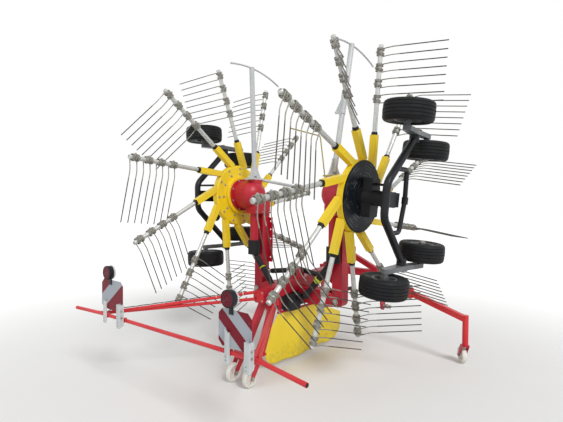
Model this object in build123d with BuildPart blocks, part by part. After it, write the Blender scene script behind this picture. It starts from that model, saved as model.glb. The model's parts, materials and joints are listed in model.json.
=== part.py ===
from build123d import *

import math
import os

os.makedirs("parts", exist_ok=True)

# Two-rotor centre-delivery rake, parked on its castors with both rotor arms folded up.
# Millimetres. x is to the right, y forward to the tractor end, z up from the ground.
# y is 0 at the rotor axes and x is 0 at the middle of the frame.

# The middle of the machine's outline on the ground, which becomes the origin of the saved pieces
OUTLINE_MID_X = 39
OUTLINE_MID_Y = -93.8
TO_ORIGIN = Location((-OUTLINE_MID_X, -OUTLINE_MID_Y, 0))

RUNNING_GAP = 0.3
SIDE_GAP = 1.0

# Fold hinges of the arms, and the rotor hubs as they stand when folded up
HINGE_X = 500
HINGE_Z = 680
HUB_X = 510
HUB_Z = 1686

# One row for each side: its name, the sign of x, how far the rotor axis leans from level, the
# place of the first tine arm, how far the outer and inner bogie beams rock, and how far the
# guard post leans forward. The two rotors hang differently on their pivots.
SIDES = [
    ("right", 1, 5.44, -35.33, 6.6, -5.3, 13.0, 1275),
    ("left", -1, 1.73, -85.10, 0.0, 0.0, -3.0, 1130),
]

# Rotor
ARM_COUNT = 11
ARM_OFFSET = 200
ARM_DEPTH = 250
TIP_RADIUS = 1350
HOLDER_END_RADIUS = 585
HOLDER_SIZE = 58
HOLDER_SINK = 6.174
COLUMN_R = 55
FLANGE_FACE = 184
FLANGE_R = 172
DRUM_R = 325
DRUM_FACE = 220
DRUM_BOTTOM = 285
DRUM_EDGE = 10
DRUM_RING_R = 202
DRUM_RING_EDGE = 6
COVER_R = 318
COVER_THICK = 7
COVER_HOLE_R = 78
COLLAR_THICK = 18
COLLAR_R = 100

# Tine arm
ARM_TUBE_R = 21
ARM_SEAL_R = 29
ARM_SEAL_LENGTH = 28
ARM_CAP_R = 25
COIL_R = 36
COIL_LENGTH = 92
COIL_COUNT = 4
COIL_PITCH = 135
LAST_COIL_FROM_TIP = 62
TINE_WIRE = 8
TINE_SPREAD = 68
TINE_ROOT_LENGTH = 120
TINE_LENGTH = 590
TINE_ROOT_TURN = -16
TINE_TURN = 4

# The cam turns each arm by its place round the rotor: place in degrees, turn of its tines
TINE_LIFT = [
    (0, 0),
    (150, 0),
    (190, -75),
    (215, -82),
    (290, -82),
    (335, -55),
    (352, 0),
    (360, 0),
]

# Rotor gearbox
GEARBOX_R = 150
DOME_R = 60
DOME_TOP = 100
GEARBOX_TOP = 10
GEARBOX_BOTTOM = 160
COLUMN_END = 590
PEDESTAL_HALF_X = 62
PEDESTAL_BACK_Y = -62
SADDLE_Z = 1842
SADDLE_HALF = 55

# Chassis under the rotor, in the rotor's own frame
CHASSIS_PLATE_THICK = 12
CHASSIS_PLATE_LENGTH = 120
CHASSIS_PLATE_WIDTH = 305
CHASSIS_PLATE_BACK = 92
CHASSIS_TUBE_R = 32
CHASSIS_TUBE_SINK = 2
CHASSIS_BEND_R = 120
CHASSIS_BACK_X = 140
CHASSIS_BACK_Y = 245
# The thinner tube in front of the bent one, from root to root: along and across
BRACE = [(258, -119), (258, 88), (0, 108), (-268, 52), (-268, -112)]
BRACE_R = 20
BRACE_BEND_R = 38
BRACE_SLEEVE_R = 27
BRACE_SLEEVE_LENGTH = 60
# Housing round the column below the cam cover: half height, rear and front, far face, sleeve
CONSOLE_HALF_X = 170
CONSOLE_REAR = -50
CONSOLE_FRONT = 90
CONSOLE_END = 400
CONSOLE_CORNER_R = 20
CONSOLE_SLEEVE_R = 66
# Gusset between the bent tube and the housing
GUSSET_X = 108
GUSSET_THICK = 20
PIVOT_BOSS_R = 42
PIVOT_PIN_R = 20
PIVOT_FIT = 0.1
PIVOT_Y = 168
BOGIE_X = 578
BOGIE_THICK = 40
BOGIE_BOSS_R = 46
BOGIE_END_R = 34
BOGIE_ARM = 289
AXLE_R = 12.5
AXLE_COLLAR_R = 26
AXLE_NUT_R = 22
AXLE_NUT_LENGTH = 16

# Gauge wheels: diameter and width of the tyre, centres of the inner row and the outer row
WHEEL_R = 203
WHEEL_HALF_WIDTH = 82.5
WHEEL_DEPTH = 656
WHEEL_X_REAR = 704
WHEEL_X_FRONT = 452
WHEEL_HUB_HALF = 79
WHEEL_HUB_R = 34
RIM_R = 100
RIM_DISC_HALF = 11
TYRE_SHOULDER_R = 38

# Mast
MAST_Y = 125
MAST_WIDTH = 110
MAST_TOP = 1485
TOP_PLATE_THICK = 15
TOP_PLATE_HALF_X = 80
TOP_PLATE_BACK_Y = -72
HINGE_PIN_R = 20
HINGE_LUG_R = 46
HINGE_LUG_THICK = 16
# Drilled strip along the inner front edge of the mast
MAST_STRIP_WIDTH = 50
MAST_STRIP_THICK = 12
MAST_STRIP_BOTTOM = 960
MAST_STRIP_TOP = 1440
MAST_STRIP_HOLES = [1010, 1110, 1210, 1310, 1400]
MAST_STRIP_HOLE_R = 11

# Upright drive tube behind the mast, with its open guard cup
DRIVE_TUBE_R = 45
DRIVE_TUBE_BOTTOM = 1200
CUP_R = 65
CUP_WALL = 5
CUP_MOUTH = 1050
STUB_R = 18
STUB_BOTTOM = 1102

# Slanting drive shaft from the middle gearbox to the drive tube, telescopic
SHAFT_FOOT = (170, 680)
SHAFT_HEAD = (500, 1070)
SHAFT_EYE_R = 16
SHAFT_EYE_HALF = 21
SHAFT_PIN_R = 8
SHAFT_INNER_R = 26
SHAFT_OUTER_R = 31
SHAFT_NECK_R = 21
SHAFT_CONE_R = 40
SHAFT_CONE_START = 30
SHAFT_CONE_END = 95
SHAFT_INNER_END = 430
SHAFT_OUTER_START = 160
SHAFT_OUTER_END = 452
SHAFT_HEAD_R = 20

# Fold cylinders, each anchored beyond the middle of the frame
CYLINDER_SPREAD = 32
CYLINDER_FOOT = (-50, 930)
CYLINDER_HEAD = (380, 870)
CYLINDER_R = 26
CYLINDER_START = 38
CYLINDER_END = 380
CYLINDER_BORE_START = 46
ROD_R = 13
ROD_START = 50
CYLINDER_PIN_R = 12
CYLINDER_EYE_HALF = 15
CYLINDER_LUG_THICK = 8
ROD_EYE_R = 22
CYLINDER_LUG_R = 24
CYLINDER_LUG_ROOT = 130

# Frame
BEAM_HALF_WIDTH = 50
BEAM_REAR = -460
BEAM_KNEE = 511
BEAM_FRONT = 1100
BEAM_REAR_TOP = 792
BEAM_KNEE_TOP = 892
BEAM_DEPTH = 112
CROSS_BEAM_HALF_X = 400
CROSS_BEAM_HALF_Y = 60
CROSS_BEAM_BOTTOM = 615
CROSS_BEAM_TOP = 765
LUG_ROOT_X = 350
RAIL_R = 12
RAIL_ENDS = [(-190, 540), (510, 530)]
# Hangers of the curtain rail: from y to y, half the gap between their two plates
HANGER_THICK = 6
HANGERS = [(-185, -140, 0), (400, 440, 27)]

# Headstock
HEAD_Y = 1140
HEAD_TUBE = 80
HEAD_TUBE_Z = 800
HEAD_TUBE_HALF_X = 405
HITCH_PLATE_THICK = 18
HITCH_PLATE_X = 394.5
HITCH_PIN_R = 14.3
HITCH_PIN_LENGTH = 90
HITCH_PIN_Y = 1200
HITCH_PIN_Z = 428
HITCH_EYE_R = 48
TOP_LINK_Z = 1060
TOP_LINK_Y = 1170
TOP_LINK_BORE_R = 12.9
TOP_LINK_EAR_R = 34
TOP_LINK_EAR_THICK = 12
TOP_LINK_GAP = 56
STRUT_TUBE = 50
STRUT_HEIGHT = 64
STRUT_TOP = 1022

# Middle gearbox and the input shaft that runs forward from it
BOX_HALF_X = 100
BOX_REAR = -120
BOX_FRONT = 55
BOX_BOTTOM = 556
BOX_TOP = 714.8
OUTPUT_R = 38
OUTPUT_END = 140
YOKE_EAR_THICK = 8
INPUT_Z = 582
INPUT_TUBE_R = 22
INPUT_END_Y = 1150
PTO_R = 17.45
PTO_LENGTH = 80

# Rear leg and its pair of castors
LEG_TUBE = 56
LEG_TOP = (55, -290, 740)
LEG_FOOT = (95, -540, 252)
CASTOR_PLATE_Z = 262
CASTOR_PLATE_THICK = 14
CASTOR_PLATE_HALF_X = 145
CASTOR_PLATE_REAR = -644
CASTOR_PLATE_FRONT = -500
CASTOR_SPREAD = 100
REAR_CASTOR_Y = -596

# Castors: nylon wheel in a fork with a plain upright stem
CASTOR_R = 82.5
CASTOR_HALF_WIDTH = 24
CASTOR_TRAIL = 80
FORK_GAP = 29
FORK_THICK = 7
FORK_CROWN_Z = 190
FORK_CROWN_THICK = 13
FORK_CROWN_R = 36
FORK_END_R = 19
CASTOR_AXLE_R = 8
STEM_R = 14
STEM_TOP = 262
BUSH_R = 27

# Outrigger stands: a fixed inner beam and an outer beam that swings on an upright pin
STAND_ROOT = (330, 1150, 755)
STAND_PIN_X = 750
STAND_PIN_Y = 1150
STAND_PIN_Z = 637
STAND_PIN_R = 16
STAND_BEAM = 60
STAND_LUG_R = 34
KNUCKLE_R = 40
KNUCKLE_HALF = 44
LUG_PLATE_THICK = 10
STAND_LEG_X = 1350
STAND_LEG_Y = 1100
STAND_LEG_R = 29
STAND_LEG_TOP = 500
STAND_CASTOR_ANGLE = 126
STAND_END_Z = 462

# Light frame at the rear
LIGHT_TUBE_R = 15
LIGHT_Y = -1479
LIGHT_Z = 655
LIGHT_ELBOW_X = 942
LIGHT_END = (1326, -1508, 626)
# Where the stays of the light frame start on the rear of the beam and on the leg: y and z
STAY_ROOTS = [(-474, 776), (-474, 714)]
STAY_PLATE_HALF_X = 62
STAY_PLATE_BOTTOM = 692
STAY_PLATE_THICK = 8
# The boards stand off the lamps' middles, both to the right
BOARD_X = 730
BOARD_SHIFT = 55
BOARD_Y = -1498.3
BOARD_THICK = 4
BOARD_WIDTH = 320
BOARD_HEIGHT = 255
BOARD_TOP = 946
LAMP_R = 58
LAMP_Z = 1004.3
LAMP_FRONT = -1484
LAMP_DEPTH = 56
# Upright channels on the rear of each board: middle from the board's middle, width, bottom, top
CHANNELS = [(-92, 48, 566, 800), (110, 105, 580, 782)]
CHANNEL_DEPTH = 22
CHANNEL_WALL = 3
CLAMP_HALF = 16

# Curtain between the rotors
CURTAIN_THICK = 12
CURTAIN_OUTLINE = [
    (-188, 527.5),
    (-330, 350),
    (-375, 190),
    (-275, 62),
    (800, 62),
    (915, 150),
    (925, 350),
    (600, 468),
    (508, 517.5),
]
CURTAIN_ROUNDED = (0, 1, 2, 5)
CURTAIN_CORNER_R = 60

# Tube guards on the rotor gearboxes
GUARD_FOOT_Z = 1890
GUARD_FLARE_HALF = 105
GUARD_PLATE_THICK = 12
GUARD_POST_R = 26
GUARD_BAR_R = 9
GUARD_BAR_HALF = 430
GUARD_FLARE_WAIST = 42
GUARD_FLARE_TOP = 120
# Side bar of each guard from the foot plate: its radius and its points, outward, forward and up
GUARD_SIDE_BARS = {
    "right": (5, [(0, -75, 1848), (100, -290, 1800), (100, -370, 2161), (100, -762, 2171)]),
    "left": (17, [(0, 72, 1848), (0, 690, 1793), (0, 740, 1768)]),
}
GUARD_BAR_BEND_R = 30


def save(piece, name, place=Location()):
    """Label a finished piece, put it in its place and write it, measured from the origin."""
    placed = piece.part.moved(TO_ORIGIN * place)
    placed.label = name
    export_step(placed, f"parts/{name}.step")


def turned(x=0, y=0, z=0):
    """A turn about the x, y or z axis, in degrees."""
    return Location((0, 0, 0), (x, y, z))


def hub_place(sign, lean):
    """The rotor's own frame: x outboard and up when folded, z against the wheels."""
    tilt = math.radians(lean)
    outward = Vector(sign * math.cos(tilt), 0, -math.sin(tilt))
    upward = Vector(sign * math.sin(tilt), 0, math.cos(tilt))
    return Plane(origin=(sign * HUB_X, 0, HUB_Z), x_dir=upward, z_dir=-outward).location


def along_arm(radius):
    """How far along its own line an offset arm reaches a radius of the rotor."""
    return math.sqrt(radius**2 - ARM_OFFSET**2)


def tine_lift(place):
    """The turn of the tines of an arm that stands at a place round the rotor."""
    place %= 360
    for (start, low), (end, high) in zip(TINE_LIFT, TINE_LIFT[1:]):
        if start <= place <= end:
            return low + (high - low) * (place - start) / (end - start)
    return 0


def bar_plane(start, end, across):
    """The plane of a bar's end: its z runs along the bar, its x lies near a given direction."""
    direction = (Vector(*end) - Vector(*start)).normalized()
    side = Vector(*across)
    side = (side - direction * side.dot(direction)).normalized()
    return Plane(origin=start, x_dir=side, z_dir=direction)


def distance(start, end):
    """The length of a bar between two points."""
    return (Vector(*end) - Vector(*start)).length


# Tine arm: a tube with four coil pairs, each with two tines, along x from the rotor's middle
tip = along_arm(TIP_RADIUS)
holder_end = along_arm(HOLDER_END_RADIUS)
holder_root = along_arm(DRUM_R) - HOLDER_SINK
tine_rest = TINE_LENGTH - TINE_ROOT_LENGTH
bend_y = TINE_ROOT_LENGTH * math.sin(math.radians(TINE_ROOT_TURN))
bend_z = -TINE_ROOT_LENGTH * math.cos(math.radians(TINE_ROOT_TURN))
coil_middles = [tip - LAST_COIL_FROM_TIP - COIL_PITCH * step for step in range(COIL_COUNT)]


def tine_arm(hand):
    """One arm with its tines hanging down, bent against the turn of the rotor."""
    with BuildPart() as arm:
        with BuildSketch(Plane.YZ.offset(holder_end)):
            Circle(ARM_TUBE_R)
        extrude(amount=tip - holder_end)
        with BuildSketch(Plane.YZ.offset(holder_end)):
            Circle(ARM_SEAL_R)
        extrude(amount=ARM_SEAL_LENGTH)
        for middle in coil_middles:
            with BuildSketch(Plane.YZ.offset(middle - COIL_LENGTH / 2)):
                Circle(COIL_R)
            extrude(amount=COIL_LENGTH)
            for x in (middle - TINE_SPREAD / 2, middle + TINE_SPREAD / 2):
                with BuildSketch(Plane.YZ.offset(x - TINE_WIRE / 2)):
                    with Locations((hand * bend_y / 2, bend_z / 2)):
                        Rectangle(TINE_WIRE, TINE_ROOT_LENGTH, rotation=hand * TINE_ROOT_TURN)
                    lower = turned(z=hand * TINE_TURN) * Location((0, -tine_rest / 2 + TINE_WIRE / 2, 0))
                    with Locations(Location((hand * bend_y, bend_z, 0)) * lower):
                        Rectangle(TINE_WIRE, tine_rest + TINE_WIRE)
                extrude(amount=TINE_WIRE)
    return arm


def rotor_drum(hand):
    """Cam drum with its eleven arm holders, in the rotor's own frame."""
    holder_length = holder_end - holder_root
    with BuildPart() as drum:
        with BuildSketch(Plane.XZ):
            with BuildLine():
                Polyline(
                    (COLUMN_R + RUNNING_GAP, -FLANGE_FACE - RUNNING_GAP),
                    (DRUM_RING_R - DRUM_RING_EDGE, -FLANGE_FACE - RUNNING_GAP),
                    (DRUM_RING_R, -FLANGE_FACE - DRUM_RING_EDGE),
                    (DRUM_RING_R, -DRUM_FACE),
                    (DRUM_R - DRUM_EDGE, -DRUM_FACE),
                    (DRUM_R, -DRUM_FACE - DRUM_EDGE),
                    (DRUM_R, -DRUM_BOTTOM),
                    (COLUMN_R + RUNNING_GAP, -DRUM_BOTTOM),
                    close=True,
                )
            make_face()
        revolve(axis=Axis.Z)
        for step in range(ARM_COUNT):
            line = turned(z=360 / ARM_COUNT * step) * Location((holder_root, hand * ARM_OFFSET, -ARM_DEPTH))
            with Locations(line):
                Box(holder_length, HOLDER_SIZE, HOLDER_SIZE, align=(Align.MIN, Align.CENTER, Align.CENTER))
    return drum


def cam_cover():
    """Round cover under the drum, open round the column's collar."""
    with BuildPart() as cover:
        with BuildSketch(Plane.XY.offset(-DRUM_BOTTOM - COVER_THICK)):
            Circle(COVER_R)
            Circle(COVER_HOLE_R, mode=Mode.SUBTRACT)
        extrude(amount=COVER_THICK)
    return cover


def rotor_gearbox(sign, hub):
    """Gearbox housing with the fixed column that carries the drum and the chassis."""
    with BuildPart() as gearbox:
        with BuildSketch(Plane(hub * turned(x=90))):
            with BuildLine():
                Polyline((0, DOME_TOP), (DOME_R, DOME_TOP))
                RadiusArc((DOME_R, DOME_TOP), (GEARBOX_R, GEARBOX_TOP), GEARBOX_R)
                Polyline(
                    (GEARBOX_R, GEARBOX_TOP),
                    (GEARBOX_R, -GEARBOX_BOTTOM),
                    (FLANGE_R, -GEARBOX_BOTTOM),
                    (FLANGE_R, -FLANGE_FACE),
                    (COLUMN_R, -FLANGE_FACE),
                    (COLUMN_R, -DRUM_BOTTOM - COVER_THICK - RUNNING_GAP),
                    (COLLAR_R, -DRUM_BOTTOM - COVER_THICK - RUNNING_GAP),
                    (COLLAR_R, -DRUM_BOTTOM - COVER_THICK - RUNNING_GAP - COLLAR_THICK),
                    (COLUMN_R, -DRUM_BOTTOM - COVER_THICK - RUNNING_GAP - COLLAR_THICK),
                    (COLUMN_R, -COLUMN_END),
                    (0, -COLUMN_END),
                    (0, DOME_TOP),
                )
            make_face()
        revolve(axis=Axis(hub.position, Plane(hub).z_dir))
        pedestal_length = MAST_Y + MAST_WIDTH / 2 - PEDESTAL_BACK_Y
        with BuildSketch(Plane.XY.offset(MAST_TOP + TOP_PLATE_THICK)):
            with Locations((sign * HINGE_X, PEDESTAL_BACK_Y + pedestal_length / 2)):
                Rectangle(2 * PEDESTAL_HALF_X, pedestal_length)
        extrude(amount=HUB_Z - MAST_TOP - TOP_PLATE_THICK)
        with BuildSketch(Plane.XY.offset(HUB_Z)):
            with Locations((sign * HINGE_X, 0)):
                Rectangle(2 * SADDLE_HALF, 2 * SADDLE_HALF)
        extrude(amount=SADDLE_Z - HUB_Z)
    return gearbox


def hub_console(hand):
    """Housing and sleeve round the column between the cam cover and the chassis."""
    top = -DRUM_BOTTOM - COVER_THICK - COLLAR_THICK - 2 * RUNNING_GAP
    with BuildPart() as console:
        with BuildSketch(Plane.XY.offset(-CONSOLE_END)):
            with Locations((0, hand * (CONSOLE_REAR + CONSOLE_FRONT) / 2)):
                RectangleRounded(2 * CONSOLE_HALF_X, CONSOLE_FRONT - CONSOLE_REAR, CONSOLE_CORNER_R)
        extrude(amount=CONSOLE_END + top)
        with BuildSketch(Plane.XY.offset(-COLUMN_END + RUNNING_GAP)):
            Circle(CONSOLE_SLEEVE_R)
        extrude(amount=COLUMN_END - RUNNING_GAP + top)
        with BuildSketch(Plane.XY.offset(-COLUMN_END)):
            Circle(COLUMN_R + RUNNING_GAP)
        extrude(amount=COLUMN_END + top, mode=Mode.SUBTRACT)
    return console


def chassis(hand):
    """C-bent chassis tube with its thinner brace below the column, and the bogie pivots."""
    plate_top = -COLUMN_END
    tube_z = plate_top - CHASSIS_PLATE_THICK - CHASSIS_TUBE_R + CHASSIS_TUBE_SINK
    boss_inner = BOGIE_X - BOGIE_THICK / 2 - 2 * CHASSIS_TUBE_R
    with BuildPart() as frame:
        with BuildLine():
            path = FilletPolyline(
                (boss_inner + CHASSIS_TUBE_R, hand * PIVOT_Y, tube_z),
                (CHASSIS_BACK_X, -hand * CHASSIS_BACK_Y, tube_z),
                (-CHASSIS_BACK_X, -hand * CHASSIS_BACK_Y, tube_z),
                (-boss_inner - CHASSIS_TUBE_R, hand * PIVOT_Y, tube_z),
                radius=CHASSIS_BEND_R,
            )
        with BuildSketch(Plane(origin=path @ 0, z_dir=path % 0)):
            Circle(CHASSIS_TUBE_R)
        sweep()
        with BuildSketch(Plane.XY.offset(plate_top - CHASSIS_PLATE_THICK)):
            with Locations((0, -hand * CHASSIS_PLATE_BACK)):
                Rectangle(CHASSIS_PLATE_LENGTH, CHASSIS_PLATE_WIDTH)
        extrude(amount=CHASSIS_PLATE_THICK)
        with BuildLine():
            brace = FilletPolyline(*[(x, hand * y, tube_z) for x, y in BRACE], radius=BRACE_BEND_R)
        with BuildSketch(Plane(origin=brace @ 0, z_dir=brace % 0)):
            Circle(BRACE_R)
        sweep()
        with Locations(Location((0, hand * BRACE[2][1], tube_z)) * turned(y=90)):
            Cylinder(BRACE_SLEEVE_R, BRACE_SLEEVE_LENGTH)
        with BuildSketch(Plane.YZ.offset(GUSSET_X)):
            with BuildLine():
                Polyline(
                    (-hand * CHASSIS_BACK_Y, tube_z + CHASSIS_TUBE_R / 2),
                    (hand * CONSOLE_REAR, -CONSOLE_END - RUNNING_GAP),
                    (hand * CONSOLE_FRONT, -CONSOLE_END - RUNNING_GAP),
                    (-hand * CHASSIS_BACK_Y, tube_z - CHASSIS_TUBE_R / 2),
                    close=True,
                )
            make_face()
        extrude(amount=GUSSET_THICK)
        for end in (-1, 1):
            with Locations(Location((end * boss_inner, hand * PIVOT_Y, tube_z)) * turned(y=end * 90)):
                bottom = (Align.CENTER, Align.CENTER, Align.MIN)
                Cylinder(PIVOT_BOSS_R, 2 * CHASSIS_TUBE_R, align=bottom)
                Cylinder(PIVOT_PIN_R, 2 * CHASSIS_TUBE_R + BOGIE_THICK, align=bottom)
    return frame


def wheel_place(hand, end, row, rock):
    """Middle of a gauge wheel in the rotor's frame: row is 1 in front and -1 behind."""
    angle = math.radians(rock)
    x = end * (WHEEL_X_FRONT if row > 0 else WHEEL_X_REAR)
    y = hand * (PIVOT_Y + row * BOGIE_ARM * math.cos(angle))
    z = -(WHEEL_DEPTH - row * BOGIE_ARM * math.sin(angle))
    return Vector(x, y, z)


def bogie_beams(hand, rocks):
    """Both bogie beams of a rotor, each with a stub axle to either side."""
    tube_z = -COLUMN_END - CHASSIS_PLATE_THICK - CHASSIS_TUBE_R + CHASSIS_TUBE_SINK
    with BuildPart() as beams:
        for end, rock in rocks:
            face = end * (BOGIE_X - BOGIE_THICK / 2)
            axles = [wheel_place(hand, end, row, rock) for row in (-1, 1)]
            with BuildSketch(Plane.YZ.offset(face)):
                for middle in axles:
                    with BuildSketch(mode=Mode.PRIVATE) as part_of_beam:
                        with Locations((hand * PIVOT_Y, tube_z)):
                            Circle(BOGIE_BOSS_R)
                        with Locations((middle.Y, middle.Z)):
                            Circle(BOGIE_END_R)
                        make_hull()
                    add(part_of_beam.sketch)
                with Locations((hand * PIVOT_Y, tube_z)):
                    Circle(PIVOT_PIN_R + PIVOT_FIT, mode=Mode.SUBTRACT)
            extrude(amount=end * BOGIE_THICK)
            for row, middle in zip((-1, 1), axles):
                away = -row * end
                start = end * BOGIE_X - row * end * BOGIE_THICK / 2
                seat = middle.X - away * (WHEEL_HUB_HALF + RUNNING_GAP)
                nut = middle.X + away * (WHEEL_HUB_HALF + RUNNING_GAP)
                for radius, near, far in (
                    (AXLE_COLLAR_R, start, seat),
                    (AXLE_R, seat, nut),
                    (AXLE_NUT_R, nut, nut + away * AXLE_NUT_LENGTH),
                ):
                    with BuildSketch(Plane.YZ.offset(near)):
                        with Locations((middle.Y, middle.Z)):
                            Circle(radius)
                    extrude(amount=far - near)
    return beams


def gauge_wheel():
    """Gauge wheel about the x axis: dished rim and plain tyre in one."""
    bore = AXLE_R + RUNNING_GAP
    with BuildPart() as wheel:
        with BuildSketch(Plane.XY):
            with BuildLine():
                Polyline(
                    (WHEEL_HUB_HALF, bore),
                    (WHEEL_HUB_HALF, WHEEL_HUB_R),
                    (RIM_DISC_HALF, WHEEL_HUB_R + 12),
                    (RIM_DISC_HALF, RIM_R - 14),
                    (WHEEL_HALF_WIDTH - 12, RIM_R),
                    (WHEEL_HALF_WIDTH, RIM_R + 40),
                    (WHEEL_HALF_WIDTH, WHEEL_R),
                    (-WHEEL_HALF_WIDTH, WHEEL_R),
                    (-WHEEL_HALF_WIDTH, RIM_R + 40),
                    (-WHEEL_HALF_WIDTH + 12, RIM_R),
                    (-RIM_DISC_HALF, RIM_R - 14),
                    (-RIM_DISC_HALF, WHEEL_HUB_R + 12),
                    (-WHEEL_HUB_HALF, WHEEL_HUB_R),
                    (-WHEEL_HUB_HALF, bore),
                    close=True,
                )
            make_face()
            fillet(vertices().group_by(Axis.Y)[-1], TYRE_SHOULDER_R)
        revolve(axis=Axis.X)
    return wheel


# Gauge wheels of each rotor: name, end of the rotor (1 is outboard), row (1 is in front)
WHEELS = [
    ("outer_rear", 1, -1),
    ("outer_front", 1, 1),
    ("inner_rear", -1, -1),
    ("inner_front", -1, 1),
]

wheel = gauge_wheel()
for side, sign, lean, phase, outer_rock, inner_rock, post_lean, post_length in SIDES:
    hub = hub_place(sign, lean)
    save(rotor_drum(sign), f"{side}_rotor_drum", hub * turned(z=sign * phase))
    save(cam_cover(), f"{side}_cam_cover", hub)

    one_arm = tine_arm(sign)
    arm_places = []
    for step in range(ARM_COUNT):
        angle = phase + step * 360 / ARM_COUNT
        place = angle + math.degrees(math.asin(ARM_OFFSET / TIP_RADIUS))
        line = turned(z=sign * angle) * Location((0, sign * ARM_OFFSET, -ARM_DEPTH))
        arm_places.append(line * turned(x=sign * tine_lift(place)))
    with BuildPart() as tine_arms:
        with Locations(*arm_places):
            add(one_arm.part)
    save(tine_arms, f"{side}_tine_arms", hub)

    save(rotor_gearbox(sign, hub), f"{side}_rotor_gearbox")
    save(hub_console(sign), f"{side}_hub_console", hub)
    save(chassis(sign), f"{side}_chassis", hub)
    rocks = [(1, outer_rock), (-1, inner_rock)]
    save(bogie_beams(sign, rocks), f"{side}_bogie_beams", hub)
    for name, end, row in WHEELS:
        rock = outer_rock if end > 0 else inner_rock
        middle = wheel_place(sign, end, row, rock)
        save(wheel, f"{side}_wheel_{name}", hub * Location(tuple(middle)))


# Mast of each arm: a square tube on the fold hinge, with the cylinder's clevis and a top plate
cylinder_lines = {"right": MAST_Y + CYLINDER_SPREAD, "left": MAST_Y - CYLINDER_SPREAD}
lug_gap = CYLINDER_EYE_HALF + SIDE_GAP
for side, sign, *others in SIDES:
    line_y = cylinder_lines[side]
    plate_depth = MAST_Y + MAST_WIDTH / 2 - TOP_PLATE_BACK_Y
    with BuildPart() as mast:
        with BuildSketch(Plane.XY.offset(HINGE_Z)):
            with Locations((sign * HINGE_X, MAST_Y)):
                Rectangle(MAST_WIDTH, MAST_WIDTH)
        extrude(amount=MAST_TOP - HINGE_Z)
        with Locations(Location((sign * HINGE_X, MAST_Y, HINGE_Z)) * turned(x=90)):
            Cylinder(MAST_WIDTH / 2, MAST_WIDTH)
            Cylinder(HINGE_PIN_R + RUNNING_GAP, 2 * MAST_WIDTH, mode=Mode.SUBTRACT)
        with BuildSketch(Plane.XY.offset(MAST_TOP)):
            with Locations((sign * HINGE_X, TOP_PLATE_BACK_Y + plate_depth / 2)):
                Rectangle(2 * TOP_PLATE_HALF_X, plate_depth)
        extrude(amount=TOP_PLATE_THICK)
        face_x = HINGE_X - MAST_WIDTH / 2
        for near in (line_y - lug_gap - CYLINDER_LUG_THICK, line_y + lug_gap):
            with BuildSketch(Plane.XZ.offset(-near)):
                with BuildSketch(mode=Mode.PRIVATE) as ear:
                    with Locations((sign * CYLINDER_HEAD[0], CYLINDER_HEAD[1])):
                        Circle(CYLINDER_LUG_R)
                    with Locations((sign * (face_x - 2), CYLINDER_HEAD[1])):
                        Rectangle(4, CYLINDER_LUG_ROOT)
                    make_hull()
                add(ear.sketch)
            extrude(amount=-CYLINDER_LUG_THICK)
        with BuildSketch(Plane.XZ.offset(-MAST_Y - MAST_WIDTH / 2 + MAST_STRIP_THICK)):
            with Locations((sign * (face_x + 1 - MAST_STRIP_WIDTH / 2), (MAST_STRIP_BOTTOM + MAST_STRIP_TOP) / 2)):
                Rectangle(MAST_STRIP_WIDTH + 2, MAST_STRIP_TOP - MAST_STRIP_BOTTOM)
            with Locations(*[(sign * (face_x - MAST_STRIP_WIDTH / 2), z) for z in MAST_STRIP_HOLES]):
                Circle(MAST_STRIP_HOLE_R, mode=Mode.SUBTRACT)
        extrude(amount=-MAST_STRIP_THICK)
    save(mast, f"{side}_mast")

    with BuildPart() as drive_tube:
        with BuildSketch(Plane.XY.offset(DRIVE_TUBE_BOTTOM)):
            with Locations((sign * HINGE_X, 0)):
                Circle(DRIVE_TUBE_R)
        extrude(amount=MAST_TOP - DRIVE_TUBE_BOTTOM)
    save(drive_tube, f"{side}_drive_tube")

    with BuildPart() as cup:
        with BuildSketch(Plane.XY.offset(CUP_MOUTH)):
            with Locations((sign * HINGE_X, 0)):
                Circle(CUP_R)
                Circle(CUP_R - CUP_WALL, mode=Mode.SUBTRACT)
        extrude(amount=DRIVE_TUBE_BOTTOM - CUP_MOUTH)
        with BuildSketch(Plane.XY.offset(DRIVE_TUBE_BOTTOM - CUP_WALL)):
            with Locations((sign * HINGE_X, 0)):
                Circle(CUP_R)
        extrude(amount=CUP_WALL)
        with BuildSketch(Plane.XY.offset(STUB_BOTTOM)):
            with Locations((sign * HINGE_X, 0)):
                Circle(STUB_R)
        extrude(amount=DRIVE_TUBE_BOTTOM - STUB_BOTTOM)
    save(cup, f"{side}_drive_cup")


# Fold cylinders: barrel on the frame, rod with an open eye between the mast's lugs
def cylinder_barrel():
    """Barrel along z from its pin."""
    with BuildPart() as barrel:
        with BuildSketch(Plane.XY.offset(CYLINDER_START)):
            Circle(CYLINDER_R)
        extrude(amount=CYLINDER_END - CYLINDER_START)
        with BuildSketch():
            Rectangle(2 * CYLINDER_R - 8, 2 * CYLINDER_EYE_HALF)
        extrude(amount=CYLINDER_START)
        with Locations(turned(x=90)):
            Cylinder(CYLINDER_R, 2 * CYLINDER_EYE_HALF)
            Cylinder(CYLINDER_PIN_R + RUNNING_GAP, 4 * CYLINDER_R, mode=Mode.SUBTRACT)
        with BuildSketch(Plane.XY.offset(CYLINDER_BORE_START)):
            Circle(ROD_R + RUNNING_GAP)
        extrude(amount=CYLINDER_END - CYLINDER_BORE_START, mode=Mode.SUBTRACT)
    return barrel


def cylinder_rod(length):
    """Rod along z from the barrel's pin, with its eye at the far end."""
    with BuildPart() as rod:
        with BuildSketch(Plane.XY.offset(ROD_START)):
            Circle(ROD_R)
        extrude(amount=length - ROD_START)
        with Locations(Location((0, 0, length)) * turned(x=90)):
            Cylinder(ROD_EYE_R, 2 * CYLINDER_EYE_HALF)
            Cylinder(CYLINDER_PIN_R + RUNNING_GAP, 2 * CYLINDER_EYE_HALF, mode=Mode.SUBTRACT)
    return rod


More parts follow.
